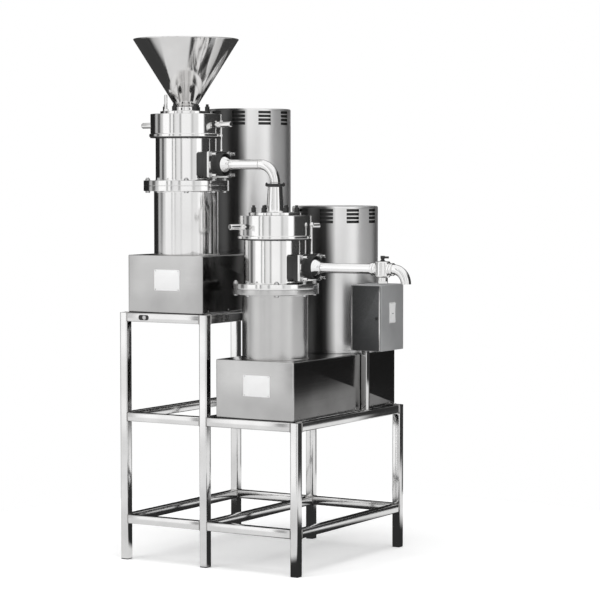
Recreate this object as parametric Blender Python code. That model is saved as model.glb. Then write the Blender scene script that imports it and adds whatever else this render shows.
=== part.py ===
"""Two vertical grinding mills in series on one stepped tube stand.

The upper mill is fed by a funnel and empties through a transfer pipe into the lower mill, whose
discharge pipe ends in a three-way valve and an elbow.  Each mill stands on a belt case beside its
motor, and a belt in the case drives the mill's shaft.  Lengths are in metres, +Z is up, the front
of the machine faces -Y, and the origin is the middle of the assembly's box, on the floor.
"""

import math

import bmesh
import bpy
from mathutils import Vector

# ---- Clearances ---------------------------------------------------------------------------------
SEAT_GAP = 0.0003  # between faces that rest on or fit in each other
RUNNING_GAP = 0.0008  # between a turning piece and what it turns in
ROUND = 32  # sides of a large turned piece
SLIM = 20  # sides of a shaft, a pipe or a pulley
FINE = 12  # sides of a rod or a grip

# ---- Stand --------------------------------------------------------------------------------------
TUBE = 0.040
TUBE_WALL = 0.002
UPPER_DECK = 1.133
LOWER_DECK = 0.677
LOW_RAIL_TOP = 0.207
CASE_LAP = 0.006  # how far a case overlaps the legs beside it
CASE_ASIDE = 0.038  # from the middle legs to the lower case
FRONT_INSET = 0.020  # from the front of the stand to a case
REAR_INSET = 0.025

# ---- Belt case ----------------------------------------------------------------------------------
CASE_WIDTH = 0.404
CASE_DEPTH = 0.925
CASE_HEIGHT = 0.262
CASE_WALL = 0.004
MILL_SETBACK = 0.177  # from the front of the case to the mill's axis
MOTOR_SETBACK = 0.216  # from the back of the case to the motor's axis

# ---- Mill, heights above the top of its case ----------------------------------------------------
HOUSING_RADIUS = 0.148
HOUSING_WALL = 0.010
HOUSING_HEIGHT = 0.290
FLANGE_REACH = 0.047  # how far the housing flange stands out
FLANGE_THICK = 0.0237
PLATE_THICK = 0.012  # of the housing's foot and top plates
CARTRIDGE_RADIUS = 0.060
CARTRIDGE_WALL = 0.012
RACE_DEPTH = 0.050
COLLAR_REACH = 0.025  # how far the cartridge's collar stands out
COLLAR_THICK = 0.010
SHAFT_RADIUS = 0.025
SHAFT_STEP = 0.009  # how far the shaft's collar and nut stand out
SHAFT_COLLAR = 0.020
NUT_EDGE = 0.010
NUT_DOME = 0.024
CHAMBER_RADIUS = 0.140
CHAMBER_WALL = 0.0177
CHAMBER_TOP = 0.600
OUTLET_HEIGHT = 0.410
OUTLET_WIDTH = 0.170
OUTLET_TALL = 0.104
OUTLET_STANDOFF = 0.010  # from the chamber's wall to the back of the outlet flange
OUTLET_PLATE = 0.022
PLATE_MARGIN = 0.008
CHANNEL_SIDE = 0.025  # of the outlet block beside its channel
CHANNEL_EDGE = 0.017  # above and below it
CHAMBER_PLATE = 0.012  # the chamber's floor round the shaft
RING_WALL = 0.0222
RING_BOTTOM = 0.536
RING_TOP = 0.640
RING_LIP = 0.0055
RING_LIP_TALL = 0.012
THREAD_PITCH = 0.006
STATOR_BOTTOM = 0.472
STATOR_NECK = 0.100
STATOR_PROUD = 0.004  # how far its shoulder stands above the chamber
INLET_RADIUS = 0.045
CONE_TOP = 0.545
ROTOR_LARGE = 0.1035
ROTOR_SMALL = 0.0785
TOOTH_DEPTH = 0.006
GRIND_GAP = 0.001
DISC_DROP = 0.027  # from the stator's foot to the rotor's
DISC_THICK = 0.013
DISC_REACH = 0.008
CAP_RADIUS = 0.118
CAP_THICK = 0.012
SOCKET_TALL = 0.020
SOCKET_WALL = 0.007
NECK_WALL = 0.010
NECK_FLARE = 0.010  # how far the foot of the lower cap's neck stands out
HANDLE_HEIGHT = 0.590
HANDLE_ROD = 0.006
HANDLE_CLEAR = 0.070  # between the end of a grip and the motor drum
GRIP_RADIUS = 0.013
GRIP_LENGTH = 0.078
LOCK_RADIUS = 0.004
LOCK_KNOB = 0.010
LOCK_RISE = 0.064  # from the bottom of the ring to the middle of the lock's knob
LOCK_ASIDE = 0.020
CAM_RADIUS = 0.007
CAM_TALL = 0.010

# ---- Motor and drive ----------------------------------------------------------------------------
DRUM_RADIUS = 0.200
DRUM_WALL = 0.0025
DRUM_HEIGHT = 0.675
DRUM_SIDES = 40
VENT_GROUPS = 10
VENT_ROWS = 4
VENT_PITCH = 0.0175
VENT_SLOT = 0.009
VENT_TOP = 0.012  # from the top of the drum to its highest slot
VENT_TURN = 9.5  # degrees that the drum's first vents are turned from +X
MOTOR_RADIUS = 0.148
MOTOR_HEIGHT = 0.400
MOTOR_FOOT = 0.012  # how far the motor's foot flange stands out
MOTOR_SHIELD = 0.018
MOTOR_SHAFT = 0.019
ROTOR_PACK = 0.095
FAN_RADIUS = 0.110
FAN_LIFT = 0.030
FAN_TALL = 0.020
MOTOR_PULLEY = 0.075
MILL_PULLEY = 0.0625
PULLEY_DEPTH = 0.150  # from the top of the case down to the belt
BELT_HEIGHT = 0.048
BELT_THICK = 0.012
PULLEY_RIM = 0.008
RIM_THICK = 0.004

# ---- Funnel and pipes ---------------------------------------------------------------------------
FUNNEL_RIM = 0.237
FUNNEL_HEIGHT = 0.304
FUNNEL_WALL = 0.0025
PIPE_RADIUS = 0.0225
PIPE_WALL = 0.002
COUPLING = 0.0055  # how far a coupling collar stands out of the pipe
COUPLING_LONG = 0.012
MOUTH_RATIO = 2.2  # of a reducer's mouth to the pipe
SLIP = 0.040  # how far the transfer pipe reaches into the lower cap's neck
UNION_WALL = 0.0185
UNION_TALL = 0.014
TRANSFER_BEND = 0.080
ELBOW_BEND = 0.060
PIPE_PLATE = 0.012
REDUCER_LENGTH = 0.066
NECK_HEIGHT = 0.114  # of the lower cap's pipe neck
VALVE_OFFSET = 0.548  # from the lower mill's axis to the valve's
VALVE_HALF = 0.040
SPOUT_DROP = 0.061
PLUG_WALL = 0.0035  # of the valve's plug round the pipe's size
BARREL_WALL = 0.011
STEM_RADIUS = 0.007
PLUG_HEAD = 0.010

# ---- Control box --------------------------------------------------------------------------------
BOX_WIDTH = 0.145
BOX_DEPTH = 0.220
BOX_HEIGHT = 0.300
BOX_RISE = 0.283  # from the lower deck to the box
BOX_SETBACK = 0.520  # from the front of the stand
BOX_ASIDE = 0.018  # from the inner side of the right legs
POST = 0.030
SWITCH_HALF_WIDTH = 0.022
SWITCH_HALF_HEIGHT = 0.046
SWITCH_RISE = 0.126  # from the foot of the box to the foot of the switch
SWITCH_PLAY = 0.001
RECESS_DEPTH = 0.010

# ---- Worked out from the above ------------------------------------------------------------------
OUTLET_REACH = CHAMBER_RADIUS + OUTLET_STANDOFF
STATOR_SHOULDER = CHAMBER_TOP + STATOR_PROUD
ROTOR_BOTTOM = STATOR_BOTTOM - DISC_DROP
PIPE_COLLAR = PIPE_RADIUS + COUPLING
LEFT_BAY = CASE_WIDTH - 2 * CASE_LAP
RIGHT_BAY = CASE_ASIDE + CASE_WIDTH - CASE_LAP
LEG_X = (0.0, TUBE + LEFT_BAY, 2 * TUBE + LEFT_BAY + RIGHT_BAY)
STAND_DEPTH = FRONT_INSET + CASE_DEPTH + REAR_INSET
DECKS = (UPPER_DECK, UPPER_DECK, LOWER_DECK)
MILL_X = {
    "upper": TUBE + LEFT_BAY / 2,
    "lower": LEG_X[1] + TUBE + CASE_ASIDE + CASE_WIDTH / 2,
}
MILL_Y = FRONT_INSET + MILL_SETBACK
CASE_TOP = {
    "upper": UPPER_DECK + SEAT_GAP + CASE_HEIGHT,
    "lower": LOWER_DECK + SEAT_GAP + CASE_HEIGHT,
}
DRIVE_CENTRES = CASE_DEPTH - MILL_SETBACK - MOTOR_SETBACK
FLANGE_RADIUS = HOUSING_RADIUS + FLANGE_REACH
HOUSING_TOP = HOUSING_HEIGHT + FLANGE_THICK
CHAMBER_BASE = HOUSING_TOP + SEAT_GAP
CHAMBER_FLOOR = CHAMBER_BASE + FLANGE_THICK
CHAMBER_BORE = CHAMBER_RADIUS - CHAMBER_WALL
RING_BORE = CHAMBER_RADIUS + RUNNING_GAP
RING_RADIUS = RING_BORE + RING_WALL
FLANGE_FACE = OUTLET_REACH + OUTLET_PLATE + SEAT_GAP  # where a pipe's plate begins
SHAFT_FOOT = -PULLEY_DEPTH - BELT_HEIGHT / 2 - 0.011
HANDLE_REACH = DRIVE_CENTRES - DRUM_RADIUS - HANDLE_CLEAR
HANDLE_SEAT = RING_RADIUS * math.cos(math.pi / ROUND) + 2 * SEAT_GAP
FACET = 360.0 / ROUND
HANDLE_TURN = {"upper": -FACET / 2, "lower": 22.5 * FACET}
PIPE_BORE = PIPE_RADIUS - PIPE_WALL
SPIGOT = INLET_RADIUS
BOX_X = LEG_X[2] + BOX_ASIDE
BOX_Z = LOWER_DECK + BOX_RISE


# ---- Materials ----------------------------------------------------------------------------------
def finish(name, colour, metallic, roughness):
    """A Principled material of one colour."""
    material = bpy.data.materials.new(name)
    material.use_nodes = True
    shader = material.node_tree.nodes["Principled BSDF"]
    shader.inputs["Base Color"].default_value = (*colour, 1.0)
    shader.inputs["Metallic"].default_value = metallic
    shader.inputs["Roughness"].default_value = roughness
    material.diffuse_color = (*colour, 1.0)
    return material


def make_finishes():
    """Every finish of the machine, by name."""
    return {
        "polished": finish("polished_stainless", (0.78, 0.78, 0.77), 1.0, 0.12),
        "brushed": finish("brushed_stainless", (0.62, 0.62, 0.60), 1.0, 0.34),
        "machined": finish("machined_steel", (0.55, 0.55, 0.56), 1.0, 0.28),
        "cast": finish("cast_iron", (0.20, 0.20, 0.21), 0.7, 0.60),
        "paint": finish("grey_enamel", (0.22, 0.23, 0.24), 0.0, 0.45),
        "rubber": finish("belt_rubber", (0.03, 0.03, 0.03), 0.0, 0.75),
        "plastic": finish("white_plastic", (0.86, 0.86, 0.84), 0.0, 0.40),
        "black": finish("black_steel", (0.05, 0.05, 0.05), 0.6, 0.40),
    }


# ---- Shape helpers ------------------------------------------------------------------------------
def object_from(name, vertices, faces, material, parent=None, location=(0, 0, 0), turn=0.0):
    """A mesh object, its normals facing out, turned by so many degrees about Z at its location."""
    work = bmesh.new()
    placed = [work.verts.new(point) for point in vertices]
    for face in faces:
        work.faces.new([placed[index] for index in face])
    bmesh.ops.recalc_face_normals(work, faces=work.faces)
    mesh = bpy.data.meshes.new(name)
    work.to_mesh(mesh)
    work.free()
    mesh.shade_smooth()
    mesh.set_sharp_from_angle(angle=math.radians(35))
    mesh.materials.append(material)
    made = bpy.data.objects.new(name, mesh)
    bpy.context.scene.collection.objects.link(made)
    made.parent = parent
    made.location = location
    made.rotation_euler = (0, 0, math.radians(turn))
    return made


def empty(name, location, parent=None):
    """An unseen frame that a group of pieces is placed in."""
    made = bpy.data.objects.new(name, None)
    bpy.context.scene.collection.objects.link(made)
    made.parent = parent
    made.location = location
    return made


def box_mesh(low, high):
    """The corners and sides of a box between two corners."""
    corners = [(x, y, z) for z in (low[2], high[2]) for y in (low[1], high[1]) for x in (low[0], high[0])]
    sides = [(0, 2, 3, 1), (4, 5, 7, 6), (0, 1, 5, 4), (2, 6, 7, 3), (0, 4, 6, 2), (1, 3, 7, 5)]
    return corners, sides


def block(name, low, high, material, **place):
    """A rectangular piece between two corners."""
    return object_from(name, *box_mesh(low, high), material, **place)


def turned_mesh(profile, sides, axis="Z"):
    """Turns a profile of (radius, height) or (radius, height, tooth depth) points about an axis.

    A profile that begins and ends on the axis is closed by a point there, and any other is a ring.
    Every second vertex of a point with a tooth depth lies that much nearer the axis.
    """
    vertices = []
    rings = []
    for point in profile:
        radius, height = point[:2]
        depth = point[2] if len(point) > 2 else 0.0
        if radius == 0:
            rings.append([len(vertices)])
            vertices.append((0.0, 0.0, height))
            continue
        rings.append([len(vertices) + side for side in range(sides)])
        for side in range(sides):
            angle = 2 * math.pi * side / sides
            out = radius - depth * (side % 2)
            vertices.append((out * math.cos(angle), out * math.sin(angle), height))
    pairs = list(zip(rings, rings[1:]))
    if len(rings[0]) > 1:
        pairs.append((rings[-1], rings[0]))
    faces = []
    for low, high in pairs:
        for side in range(sides):
            after = (side + 1) % sides
            if len(low) == 1:
                faces.append((low[0], high[side], high[after]))
            elif len(high) == 1:
                faces.append((low[side], low[after], high[0]))
            else:
                faces.append((low[side], low[after], high[after], high[side]))
    if axis == "X":
        vertices = [(z, x, y) for x, y, z in vertices]
    return vertices, faces


def turned(name, profile, sides, material, axis="Z", **place):
    """A turned piece."""
    return object_from(name, *turned_mesh(profile, sides, axis), material, **place)


def swept(name, path, radii, sides, material, **place):
    """A round bar along a path of (x, z) points, with a radius at each point and flat ends."""
    points = [Vector((x, 0.0, z)) for x, z in path]
    vertices = []
    for index, (point, radius) in enumerate(zip(points, radii)):
        before = points[max(index - 1, 0)]
        after = points[min(index + 1, len(points) - 1)]
        along = (after - before).normalized()
        across = Vector((-along.z, 0.0, along.x))
        for side in range(sides):
            angle = 2 * math.pi * side / sides
            arm = across * math.cos(angle) + Vector((0, 1, 0)) * math.sin(angle)
            vertices.append(point + arm * radius)
    faces = []
    for ring in range(len(points) - 1):
        for side in range(sides):
            after = (side + 1) % sides
            low, high = ring * sides, (ring + 1) * sides
            faces.append((low + side, low + after, high + after, high + side))
    faces.append(tuple(range(sides)))
    faces.append(tuple(range(len(vertices) - sides, len(vertices))))
    return object_from(name, vertices, faces, material, **place)


def bend(centre, radius, start, stop, steps):
    """Points of an arc about (x, z), from one angle to another in degrees."""
    angles = [math.radians(start + (stop - start) * step / steps) for step in range(steps + 1)]
    return [(centre[0] + radius * math.cos(a), centre[1] + radius * math.sin(a)) for a in angles]


def combine(target, helper, operation):
    """Joins a helper to a piece, or cuts it out, and hides the helper."""
    modifier = target.modifiers.new(helper.name, "BOOLEAN")
    modifier.operation = operation
    modifier.solver = "EXACT"
    modifier.object = helper
    helper.hide_render = True
    helper.display_type = "WIRE"
    helper.parent = target.parent
    helper.location = target.location


# ---- Stand --------------------------------------------------------------------------------------
def side_frame(name, x, deck, levels, material, root):
    """A front leg and a rear leg welded to one rail at each level."""
    frame = block(name, (x, 0, 0), (x + TUBE, TUBE, deck), material, parent=root)
    back = STAND_DEPTH - TUBE
    rear = block(name + "_rear_leg", (x, back, 0), (x + TUBE, STAND_DEPTH, deck), material)
    for level in levels:
        low = (x, TUBE / 2, level - TUBE)
        high = (x + TUBE, back + TUBE / 2, level)
        rail = block(f"{name}_rail_{level:.3f}", low, high, material)
        combine(frame, rail, "UNION")
    combine(frame, rear, "UNION")
    return frame


def cross_rails(side, x0, x1, levels, material, root):
    """The front and rear rails of one bay, square tubes butted between its legs."""
    for level, height in levels.items():
        for row, y in (("front", 0.0), ("rear", STAND_DEPTH - TUBE)):
            low = (x0 + SEAT_GAP, y, height - TUBE)
            high = (x1 - SEAT_GAP, y + TUBE, height)
            rail = block(f"{side}_{level}_{row}_rail", low, high, material, parent=root)
            low = (x0 - TUBE_WALL, y + TUBE_WALL, height - TUBE + TUBE_WALL)
            high = (x1 + TUBE_WALL, y + TUBE - TUBE_WALL, height - TUBE_WALL)
            bore = block(f"{side}_{level}_{row}_bore", low, high, material)
            combine(rail, bore, "DIFFERENCE")


def stand(finishes, root):
    """Three welded side frames and the rails between them."""
    steel = finishes["polished"]
    low = {"low": LOW_RAIL_TOP, "middle": LOWER_DECK}
    tall = {**low, "top": UPPER_DECK}
    side_frame("left_side_frame", LEG_X[0], DECKS[0], tall.values(), steel, root)
    side_frame("middle_side_frame", LEG_X[1], DECKS[1], tall.values(), steel, root)
    side_frame("right_side_frame", LEG_X[2], DECKS[2], low.values(), steel, root)
    cross_rails("left_bay", LEG_X[0] + TUBE, LEG_X[1], tall, steel, root)
    cross_rails("right_bay", LEG_X[1] + TUBE, LEG_X[2], low, steel, root)


# ---- Belt case and drive ------------------------------------------------------------------------
def belt_case(stage, finishes, mill):
    """A folded sheet case, open below, with a hole under the mill and one under the motor."""
    low = (-CASE_WIDTH / 2, -MILL_SETBACK, -CASE_HEIGHT)
    high = (CASE_WIDTH / 2, CASE_DEPTH - MILL_SETBACK, 0.0)
    case = block(f"{stage}_belt_case", low, high, finishes["brushed"], parent=mill)
    inside_low = (low[0] + CASE_WALL, low[1] + CASE_WALL, low[2] - CASE_WALL)
    inside_high = (high[0] - CASE_WALL, high[1] - CASE_WALL, -CASE_WALL)
    hollow = block(f"{stage}_case_hollow", inside_low, inside_high, finishes["brushed"])
    combine(case, hollow, "DIFFERENCE")
    for hole, y, radius in (("mill", 0.0, 2 * SHAFT_RADIUS), ("motor", DRIVE_CENTRES, 0.03)):
        profile = [(0, -2 * CASE_WALL), (radius, -2 * CASE_WALL), (radius, CASE_WALL), (0, CASE_WALL)]
        vertices, faces = turned_mesh(profile, SLIM)
        vertices = [(vx, vy + y, vz) for vx, vy, vz in vertices]
        cutter = object_from(f"{stage}_{hole}_hole", vertices, faces, finishes["brushed"])
        combine(case, cutter, "DIFFERENCE")


def case_floor(stage, finishes, mill):
    """The plate that closes the case from below and lies on the stand's rails."""
    inset = CASE_WALL + SEAT_GAP
    low = (-CASE_WIDTH / 2 + inset, -MILL_SETBACK + inset, -CASE_HEIGHT)
    high = (CASE_WIDTH / 2 - inset, CASE_DEPTH - MILL_SETBACK - inset, CASE_WALL - CASE_HEIGHT)
    block(f"{stage}_case_floor", low, high, finishes["brushed"], parent=mill)


def pulley(name, seat, bore, material, **place):
    """A drum with a rim above and below the belt."""
    half = BELT_HEIGHT / 2 + 2 * SEAT_GAP
    outer = half + RIM_THICK
    rim = seat + PULLEY_RIM
    middle = -PULLEY_DEPTH
    section = [(bore, -outer), (rim, -outer), (rim, -half), (seat, -half)]
    section += [(radius, -height) for radius, height in reversed(section)]
    turned(name, [(r, middle + z) for r, z in section], SLIM, material, **place)


def drive_belt(stage, finishes, mill):
    """A flat closed belt round both pulleys: two arcs joined by their outer tangents."""
    seat = 2 * SEAT_GAP
    lean = math.asin((MOTOR_PULLEY - MILL_PULLEY) / DRIVE_CENTRES)
    steps = ROUND // 2
    loops = []
    for thick in (seat, seat + BELT_THICK):
        loop = []
        for centre, radius, start, stop in (
            (0.0, MILL_PULLEY + thick, math.pi + lean, 2 * math.pi - lean),
            (DRIVE_CENTRES, MOTOR_PULLEY + thick, -lean, math.pi + lean),
        ):
            for step in range(steps + 1):
                angle = start + (stop - start) * step / steps
                loop.append((radius * math.cos(angle), centre + radius * math.sin(angle)))
        loops.append(loop)
    low = -PULLEY_DEPTH - BELT_HEIGHT / 2
    high = low + BELT_HEIGHT
    count = len(loops[0])
    vertices = [(x, y, z) for z in (low, high) for loop in loops for x, y in loop]
    faces = []
    for point in range(count):
        after = (point + 1) % count
        rings = (0, count, 3 * count, 2 * count)
        for first, second in zip(rings, rings[1:] + rings[:1]):
            faces.append((first + point, first + after, second + after, second + point))
    object_from(f"{stage}_drive_belt", vertices, faces, finishes["rubber"], parent=mill)


# ---- Mill ---------------------------------------------------------------------------------------
def bearing_housing(stage, finishes, mill):
    """The lower cylinder of the mill, with a foot plate and a flanged top plate."""
    hole = CARTRIDGE_RADIUS + SEAT_GAP
    inner = HOUSING_RADIUS - HOUSING_WALL
    section = [
        (hole, SEAT_GAP),
        (HOUSING_RADIUS, SEAT_GAP),
        (HOUSING_RADIUS, HOUSING_HEIGHT),
        (FLANGE_RADIUS, HOUSING_HEIGHT),
        (FLANGE_RADIUS, HOUSING_TOP),
        (hole, HOUSING_TOP),
        (hole, HOUSING_TOP - PLATE_THICK),
        (inner, HOUSING_TOP - PLATE_THICK),
        (inner, SEAT_GAP + PLATE_THICK),
        (hole, SEAT_GAP + PLATE_THICK),
    ]
    turned(f"{stage}_bearing_housing", section, ROUND, finishes["polished"], parent=mill)


def bearing_cartridge(stage, finishes, mill):
    """A sleeve hung by its collar in the housing, with a bearing seat at each end."""
    bore = SHAFT_RADIUS + RUNNING_GAP
    relief = CARTRIDGE_RADIUS - CARTRIDGE_WALL
    collar = CARTRIDGE_RADIUS + COLLAR_REACH
    top = HOUSING_TOP + SEAT_GAP + COLLAR_THICK
    foot = 2 * SEAT_GAP
    section = [
        (bore, foot),
        (CARTRIDGE_RADIUS, foot),
        (CARTRIDGE_RADIUS, HOUSING_TOP + SEAT_GAP),
        (collar, HOUSING_TOP + SEAT_GAP),
        (collar, top),
        (bore, top),
        (bore, top - RACE_DEPTH),
        (relief, top - RACE_DEPTH),
        (relief, foot + RACE_DEPTH),
        (bore, foot + RACE_DEPTH),
    ]
    turned(f"{stage}_bearing_cartridge", section, ROUND, finishes["machined"], parent=mill)


def main_shaft(stage, finishes, mill):
    """The mill's shaft, with a collar under the rotor and a domed nut on it."""
    collar = SHAFT_RADIUS + SHAFT_STEP
    shelf = ROTOR_BOTTOM - SEAT_GAP
    nut = CONE_TOP + SEAT_GAP
    section = [
        (0, SHAFT_FOOT),
        (SHAFT_RADIUS, SHAFT_FOOT),
        (SHAFT_RADIUS, shelf - SHAFT_COLLAR),
        (collar, shelf - SHAFT_COLLAR),
        (collar, shelf),
        (SHAFT_RADIUS, shelf),
        (SHAFT_RADIUS, nut),
        (collar, nut),
        (collar, nut + NUT_EDGE),
        (0, nut + NUT_EDGE + NUT_DOME),
    ]
    turned(f"{stage}_main_shaft", section, SLIM, finishes["machined"], parent=mill)


def rotor(stage, finishes, mill):
    """The toothed cone, with the disc under it that throws the meal to the outlet."""
    bore = SHAFT_RADIUS + SEAT_GAP
    disc = ROTOR_LARGE + DISC_REACH
    disc_top = ROTOR_BOTTOM + DISC_THICK
    section = [
        (bore, ROTOR_BOTTOM),
        (disc, ROTOR_BOTTOM),
        (disc, disc_top),
        (ROTOR_LARGE, disc_top + GRIND_GAP, TOOTH_DEPTH),
        (ROTOR_LARGE, STATOR_BOTTOM, TOOTH_DEPTH),
        (ROTOR_SMALL, CONE_TOP, TOOTH_DEPTH),
        (bore, CONE_TOP),
    ]
    turned(f"{stage}_rotor", section, ROUND, finishes["machined"], parent=mill)


def stator(stage, finishes, mill):
    """The toothed sleeve round the rotor, keyed in the chamber and held by the ring at its shoulder."""
    outer = CHAMBER_BORE - SEAT_GAP
    gap = GRIND_GAP + TOOTH_DEPTH
    throat = CONE_TOP + SOCKET_TALL * 2
    section = [
        (ROTOR_LARGE + gap, STATOR_BOTTOM, TOOTH_DEPTH),
        (outer, STATOR_BOTTOM),
        (outer, STATOR_SHOULDER),
        (STATOR_NECK, STATOR_SHOULDER),
        (STATOR_NECK, RING_TOP),
        (INLET_RADIUS, RING_TOP),
        (INLET_RADIUS, throat),
        (ROTOR_SMALL + gap, CONE_TOP + GRIND_GAP * 5, TOOTH_DEPTH),
    ]
    turned(f"{stage}_stator", section, ROUND, finishes["machined"], parent=mill)


def grinding_chamber(stage, finishes, mill):
    """The chamber: a flanged cylinder with a block and a rectangular flange at its outlet."""
    name = f"{stage}_grinding_chamber"
    steel = finishes["polished"]
    section = [
        (0, CHAMBER_BASE),
        (FLANGE_RADIUS, CHAMBER_BASE),
        (FLANGE_RADIUS, CHAMBER_FLOOR),
        (CHAMBER_RADIUS, CHAMBER_FLOOR),
        (CHAMBER_RADIUS, CHAMBER_TOP),
        (0, CHAMBER_TOP),
    ]
    chamber = turned(name, section, ROUND, steel, parent=mill)
    wide, tall = OUTLET_WIDTH / 2, OUTLET_TALL / 2
    low = (CHAMBER_BORE / 2, -wide, OUTLET_HEIGHT - tall)
    high = (OUTLET_REACH + OUTLET_PLATE / 2, wide, OUTLET_HEIGHT + tall)
    combine(chamber, block(f"{stage}_outlet_block", low, high, steel), "UNION")
    low = (OUTLET_REACH, -wide - PLATE_MARGIN, OUTLET_HEIGHT - tall - PLATE_MARGIN)
    high = (OUTLET_REACH + OUTLET_PLATE, wide + PLATE_MARGIN, OUTLET_HEIGHT + tall + PLATE_MARGIN)
    combine(chamber, block(f"{stage}_outlet_plate", low, high, steel), "UNION")
    recess = CARTRIDGE_RADIUS + COLLAR_REACH + CHAMBER_WALL
    shaft_hole = SHAFT_RADIUS + RUNNING_GAP
    below = CHAMBER_BASE - COLLAR_THICK
    above = CHAMBER_TOP + CHAMBER_WALL
    floor = CHAMBER_FLOOR + CHAMBER_PLATE
    bore = [
        (0, below),
        (recess, below),
        (recess, floor - CHAMBER_PLATE - OUTLET_STANDOFF),
        (shaft_hole, floor - CHAMBER_PLATE - OUTLET_STANDOFF),
        (shaft_hole, floor),
        (CHAMBER_BORE, floor),
        (CHAMBER_BORE, above),
        (0, above),
    ]
    combine(chamber, turned(f"{stage}_chamber_bore", bore, ROUND, steel), "DIFFERENCE")
    wide -= CHANNEL_SIDE
    tall -= CHANNEL_EDGE
    low = (CHAMBER_BORE / 2, -wide, OUTLET_HEIGHT - tall)
    high = (OUTLET_REACH + 2 * OUTLET_PLATE, wide, OUTLET_HEIGHT + tall)
    combine(chamber, block(f"{stage}_outlet_channel", low, high, steel), "DIFFERENCE")


def adjusting_ring(stage, finishes, mill):
    """The ring on the chamber's thread, whose inner lip lifts the stator."""
    lip = STATOR_NECK + RUNNING_GAP
    ledge = STATOR_SHOULDER + SEAT_GAP
    section = [
        (RING_BORE, RING_BOTTOM),
        (RING_RADIUS + RING_LIP, RING_BOTTOM),
        (RING_RADIUS + RING_LIP, RING_BOTTOM + RING_LIP_TALL),
        (RING_RADIUS, RING_BOTTOM + RING_LIP_TALL + RING_LIP / 3),
        (RING_RADIUS, RING_TOP - SEAT_GAP),
        (lip, RING_TOP - SEAT_GAP),
        (lip, ledge),
        (RING_BORE, ledge),
    ]
    turned(f"{stage}_adjusting_ring", section, ROUND, finishes["polished"], parent=mill)


def ring_handles(stage, finishes, mill):
    """Two opposite rods in the ring, each with a round grip at its end."""
    grip = HANDLE_REACH - GRIP_LENGTH
    rounding = GRIP_RADIUS / 3
    section = [
        (0, HANDLE_SEAT),
        (HANDLE_ROD, HANDLE_SEAT),
        (HANDLE_ROD, grip),
        (GRIP_RADIUS - rounding, grip),
        (GRIP_RADIUS, grip + rounding),
        (GRIP_RADIUS, HANDLE_REACH - rounding),
        (GRIP_RADIUS - rounding, HANDLE_REACH),
        (0, HANDLE_REACH),
    ]
    for number, turn in ((1, HANDLE_TURN[stage]), (2, HANDLE_TURN[stage] + 180)):
        name = f"{stage}_ring_handle_{number}"
        place = {"parent": mill, "location": (0, 0, HANDLE_HEIGHT), "turn": turn}
        turned(name, section, FINE, finishes["polished"], axis="X", **place)


def ring_lock(stage, finishes, mill):
    """A rod on the outlet flange with a ball knob, whose cam locks the ring by its lip."""
    steel = finishes["machined"]
    foot = OUTLET_HEIGHT + OUTLET_TALL / 2 + PLATE_MARGIN + SEAT_GAP
    collar = PIPE_PLATE / 2 - SEAT_GAP
    knob = RING_BOTTOM + LOCK_RISE
    section = [
        (0, foot),
        (collar, foot),
        (collar, foot + 2 * LOCK_RADIUS),
        (LOCK_RADIUS, foot + 3 * LOCK_RADIUS),
    ]
    for height, radius in bend((knob, 0), LOCK_KNOB, 150, 30, 4):
        section.append((radius, height))
    section.append((0, knob + LOCK_KNOB))
    lock_x = FLANGE_FACE + PIPE_PLATE / 2
    place = {"parent": mill, "location": (lock_x, LOCK_ASIDE, 0)}
    rod = turned(f"{stage}_ring_lock", section, FINE, steel, **place)
    reach = math.hypot(lock_x, LOCK_ASIDE) - RING_RADIUS - RING_LIP - SEAT_GAP
    throw = reach - CAM_RADIUS
    toward = math.atan2(-LOCK_ASIDE, -lock_x)
    low = RING_BOTTOM + SEAT_GAP
    profile = [(0, low), (CAM_RADIUS, low), (CAM_RADIUS, low + CAM_TALL), (0, low + CAM_TALL)]
    vertices, faces = turned_mesh(profile, FINE)
    shift_x, shift_y = throw * math.cos(toward), throw * math.sin(toward)
    vertices = [(x + shift_x, y + shift_y, z) for x, y, z in vertices]
    combine(rod, object_from(f"{stage}_lock_cam", vertices, faces, steel), "UNION")


def inlet_cap(stage, finishes, mill):
    """The plate bolted on the stator: a socket for the funnel above, or a neck for the pipe below."""
    seat = RING_TOP + SEAT_GAP
    face = seat + CAP_THICK
    if stage == "upper":
        bore = SPIGOT + SEAT_GAP
        top = face + SOCKET_TALL
        wall = SPIGOT + SOCKET_WALL
        neck = [(wall + SOCKET_WALL / 2, face), (wall, top), (bore, top)]
    else:
        bore = PIPE_RADIUS + 2 * PIPE_WALL
        top = face + NECK_HEIGHT
        wall = bore + NECK_WALL
        flare = wall + NECK_FLARE
        neck = [(flare, face), (wall + NECK_FLARE / 3, face + CAP_THICK), (wall, top), (bore, top)]
    section = [(bore, seat), (CAP_RADIUS, seat), (CAP_RADIUS, face), *neck]
    turned(f"{stage}_inlet_cap", section, ROUND, finishes["polished"], parent=mill)


# ---- Motor --------------------------------------------------------------------------------------
def motor(stage, finishes, mill):
    """The motor's body: a foot flange, a shell and two end shields with a bearing hole each."""
    hole = MOTOR_SHAFT + RUNNING_GAP
    bore = ROTOR_PACK + MOTOR_FOOT / 2
    section = [
        (hole, SEAT_GAP),
        (MOTOR_RADIUS + MOTOR_FOOT, SEAT_GAP),
        (MOTOR_RADIUS + MOTOR_FOOT, MOTOR_SHIELD),
        (MOTOR_RADIUS, MOTOR_SHIELD),
        (MOTOR_RADIUS, MOTOR_HEIGHT),
        (hole, MOTOR_HEIGHT),
        (hole, MOTOR_HEIGHT - MOTOR_SHIELD),
        (bore, MOTOR_HEIGHT - MOTOR_SHIELD),
        (bore, MOTOR_SHIELD),
        (hole, MOTOR_SHIELD),
    ]
    place = {"parent": mill, "location": (0, DRIVE_CENTRES, 0)}
    turned(f"{stage}_motor", section, SLIM, finishes["paint"], **place)


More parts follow.
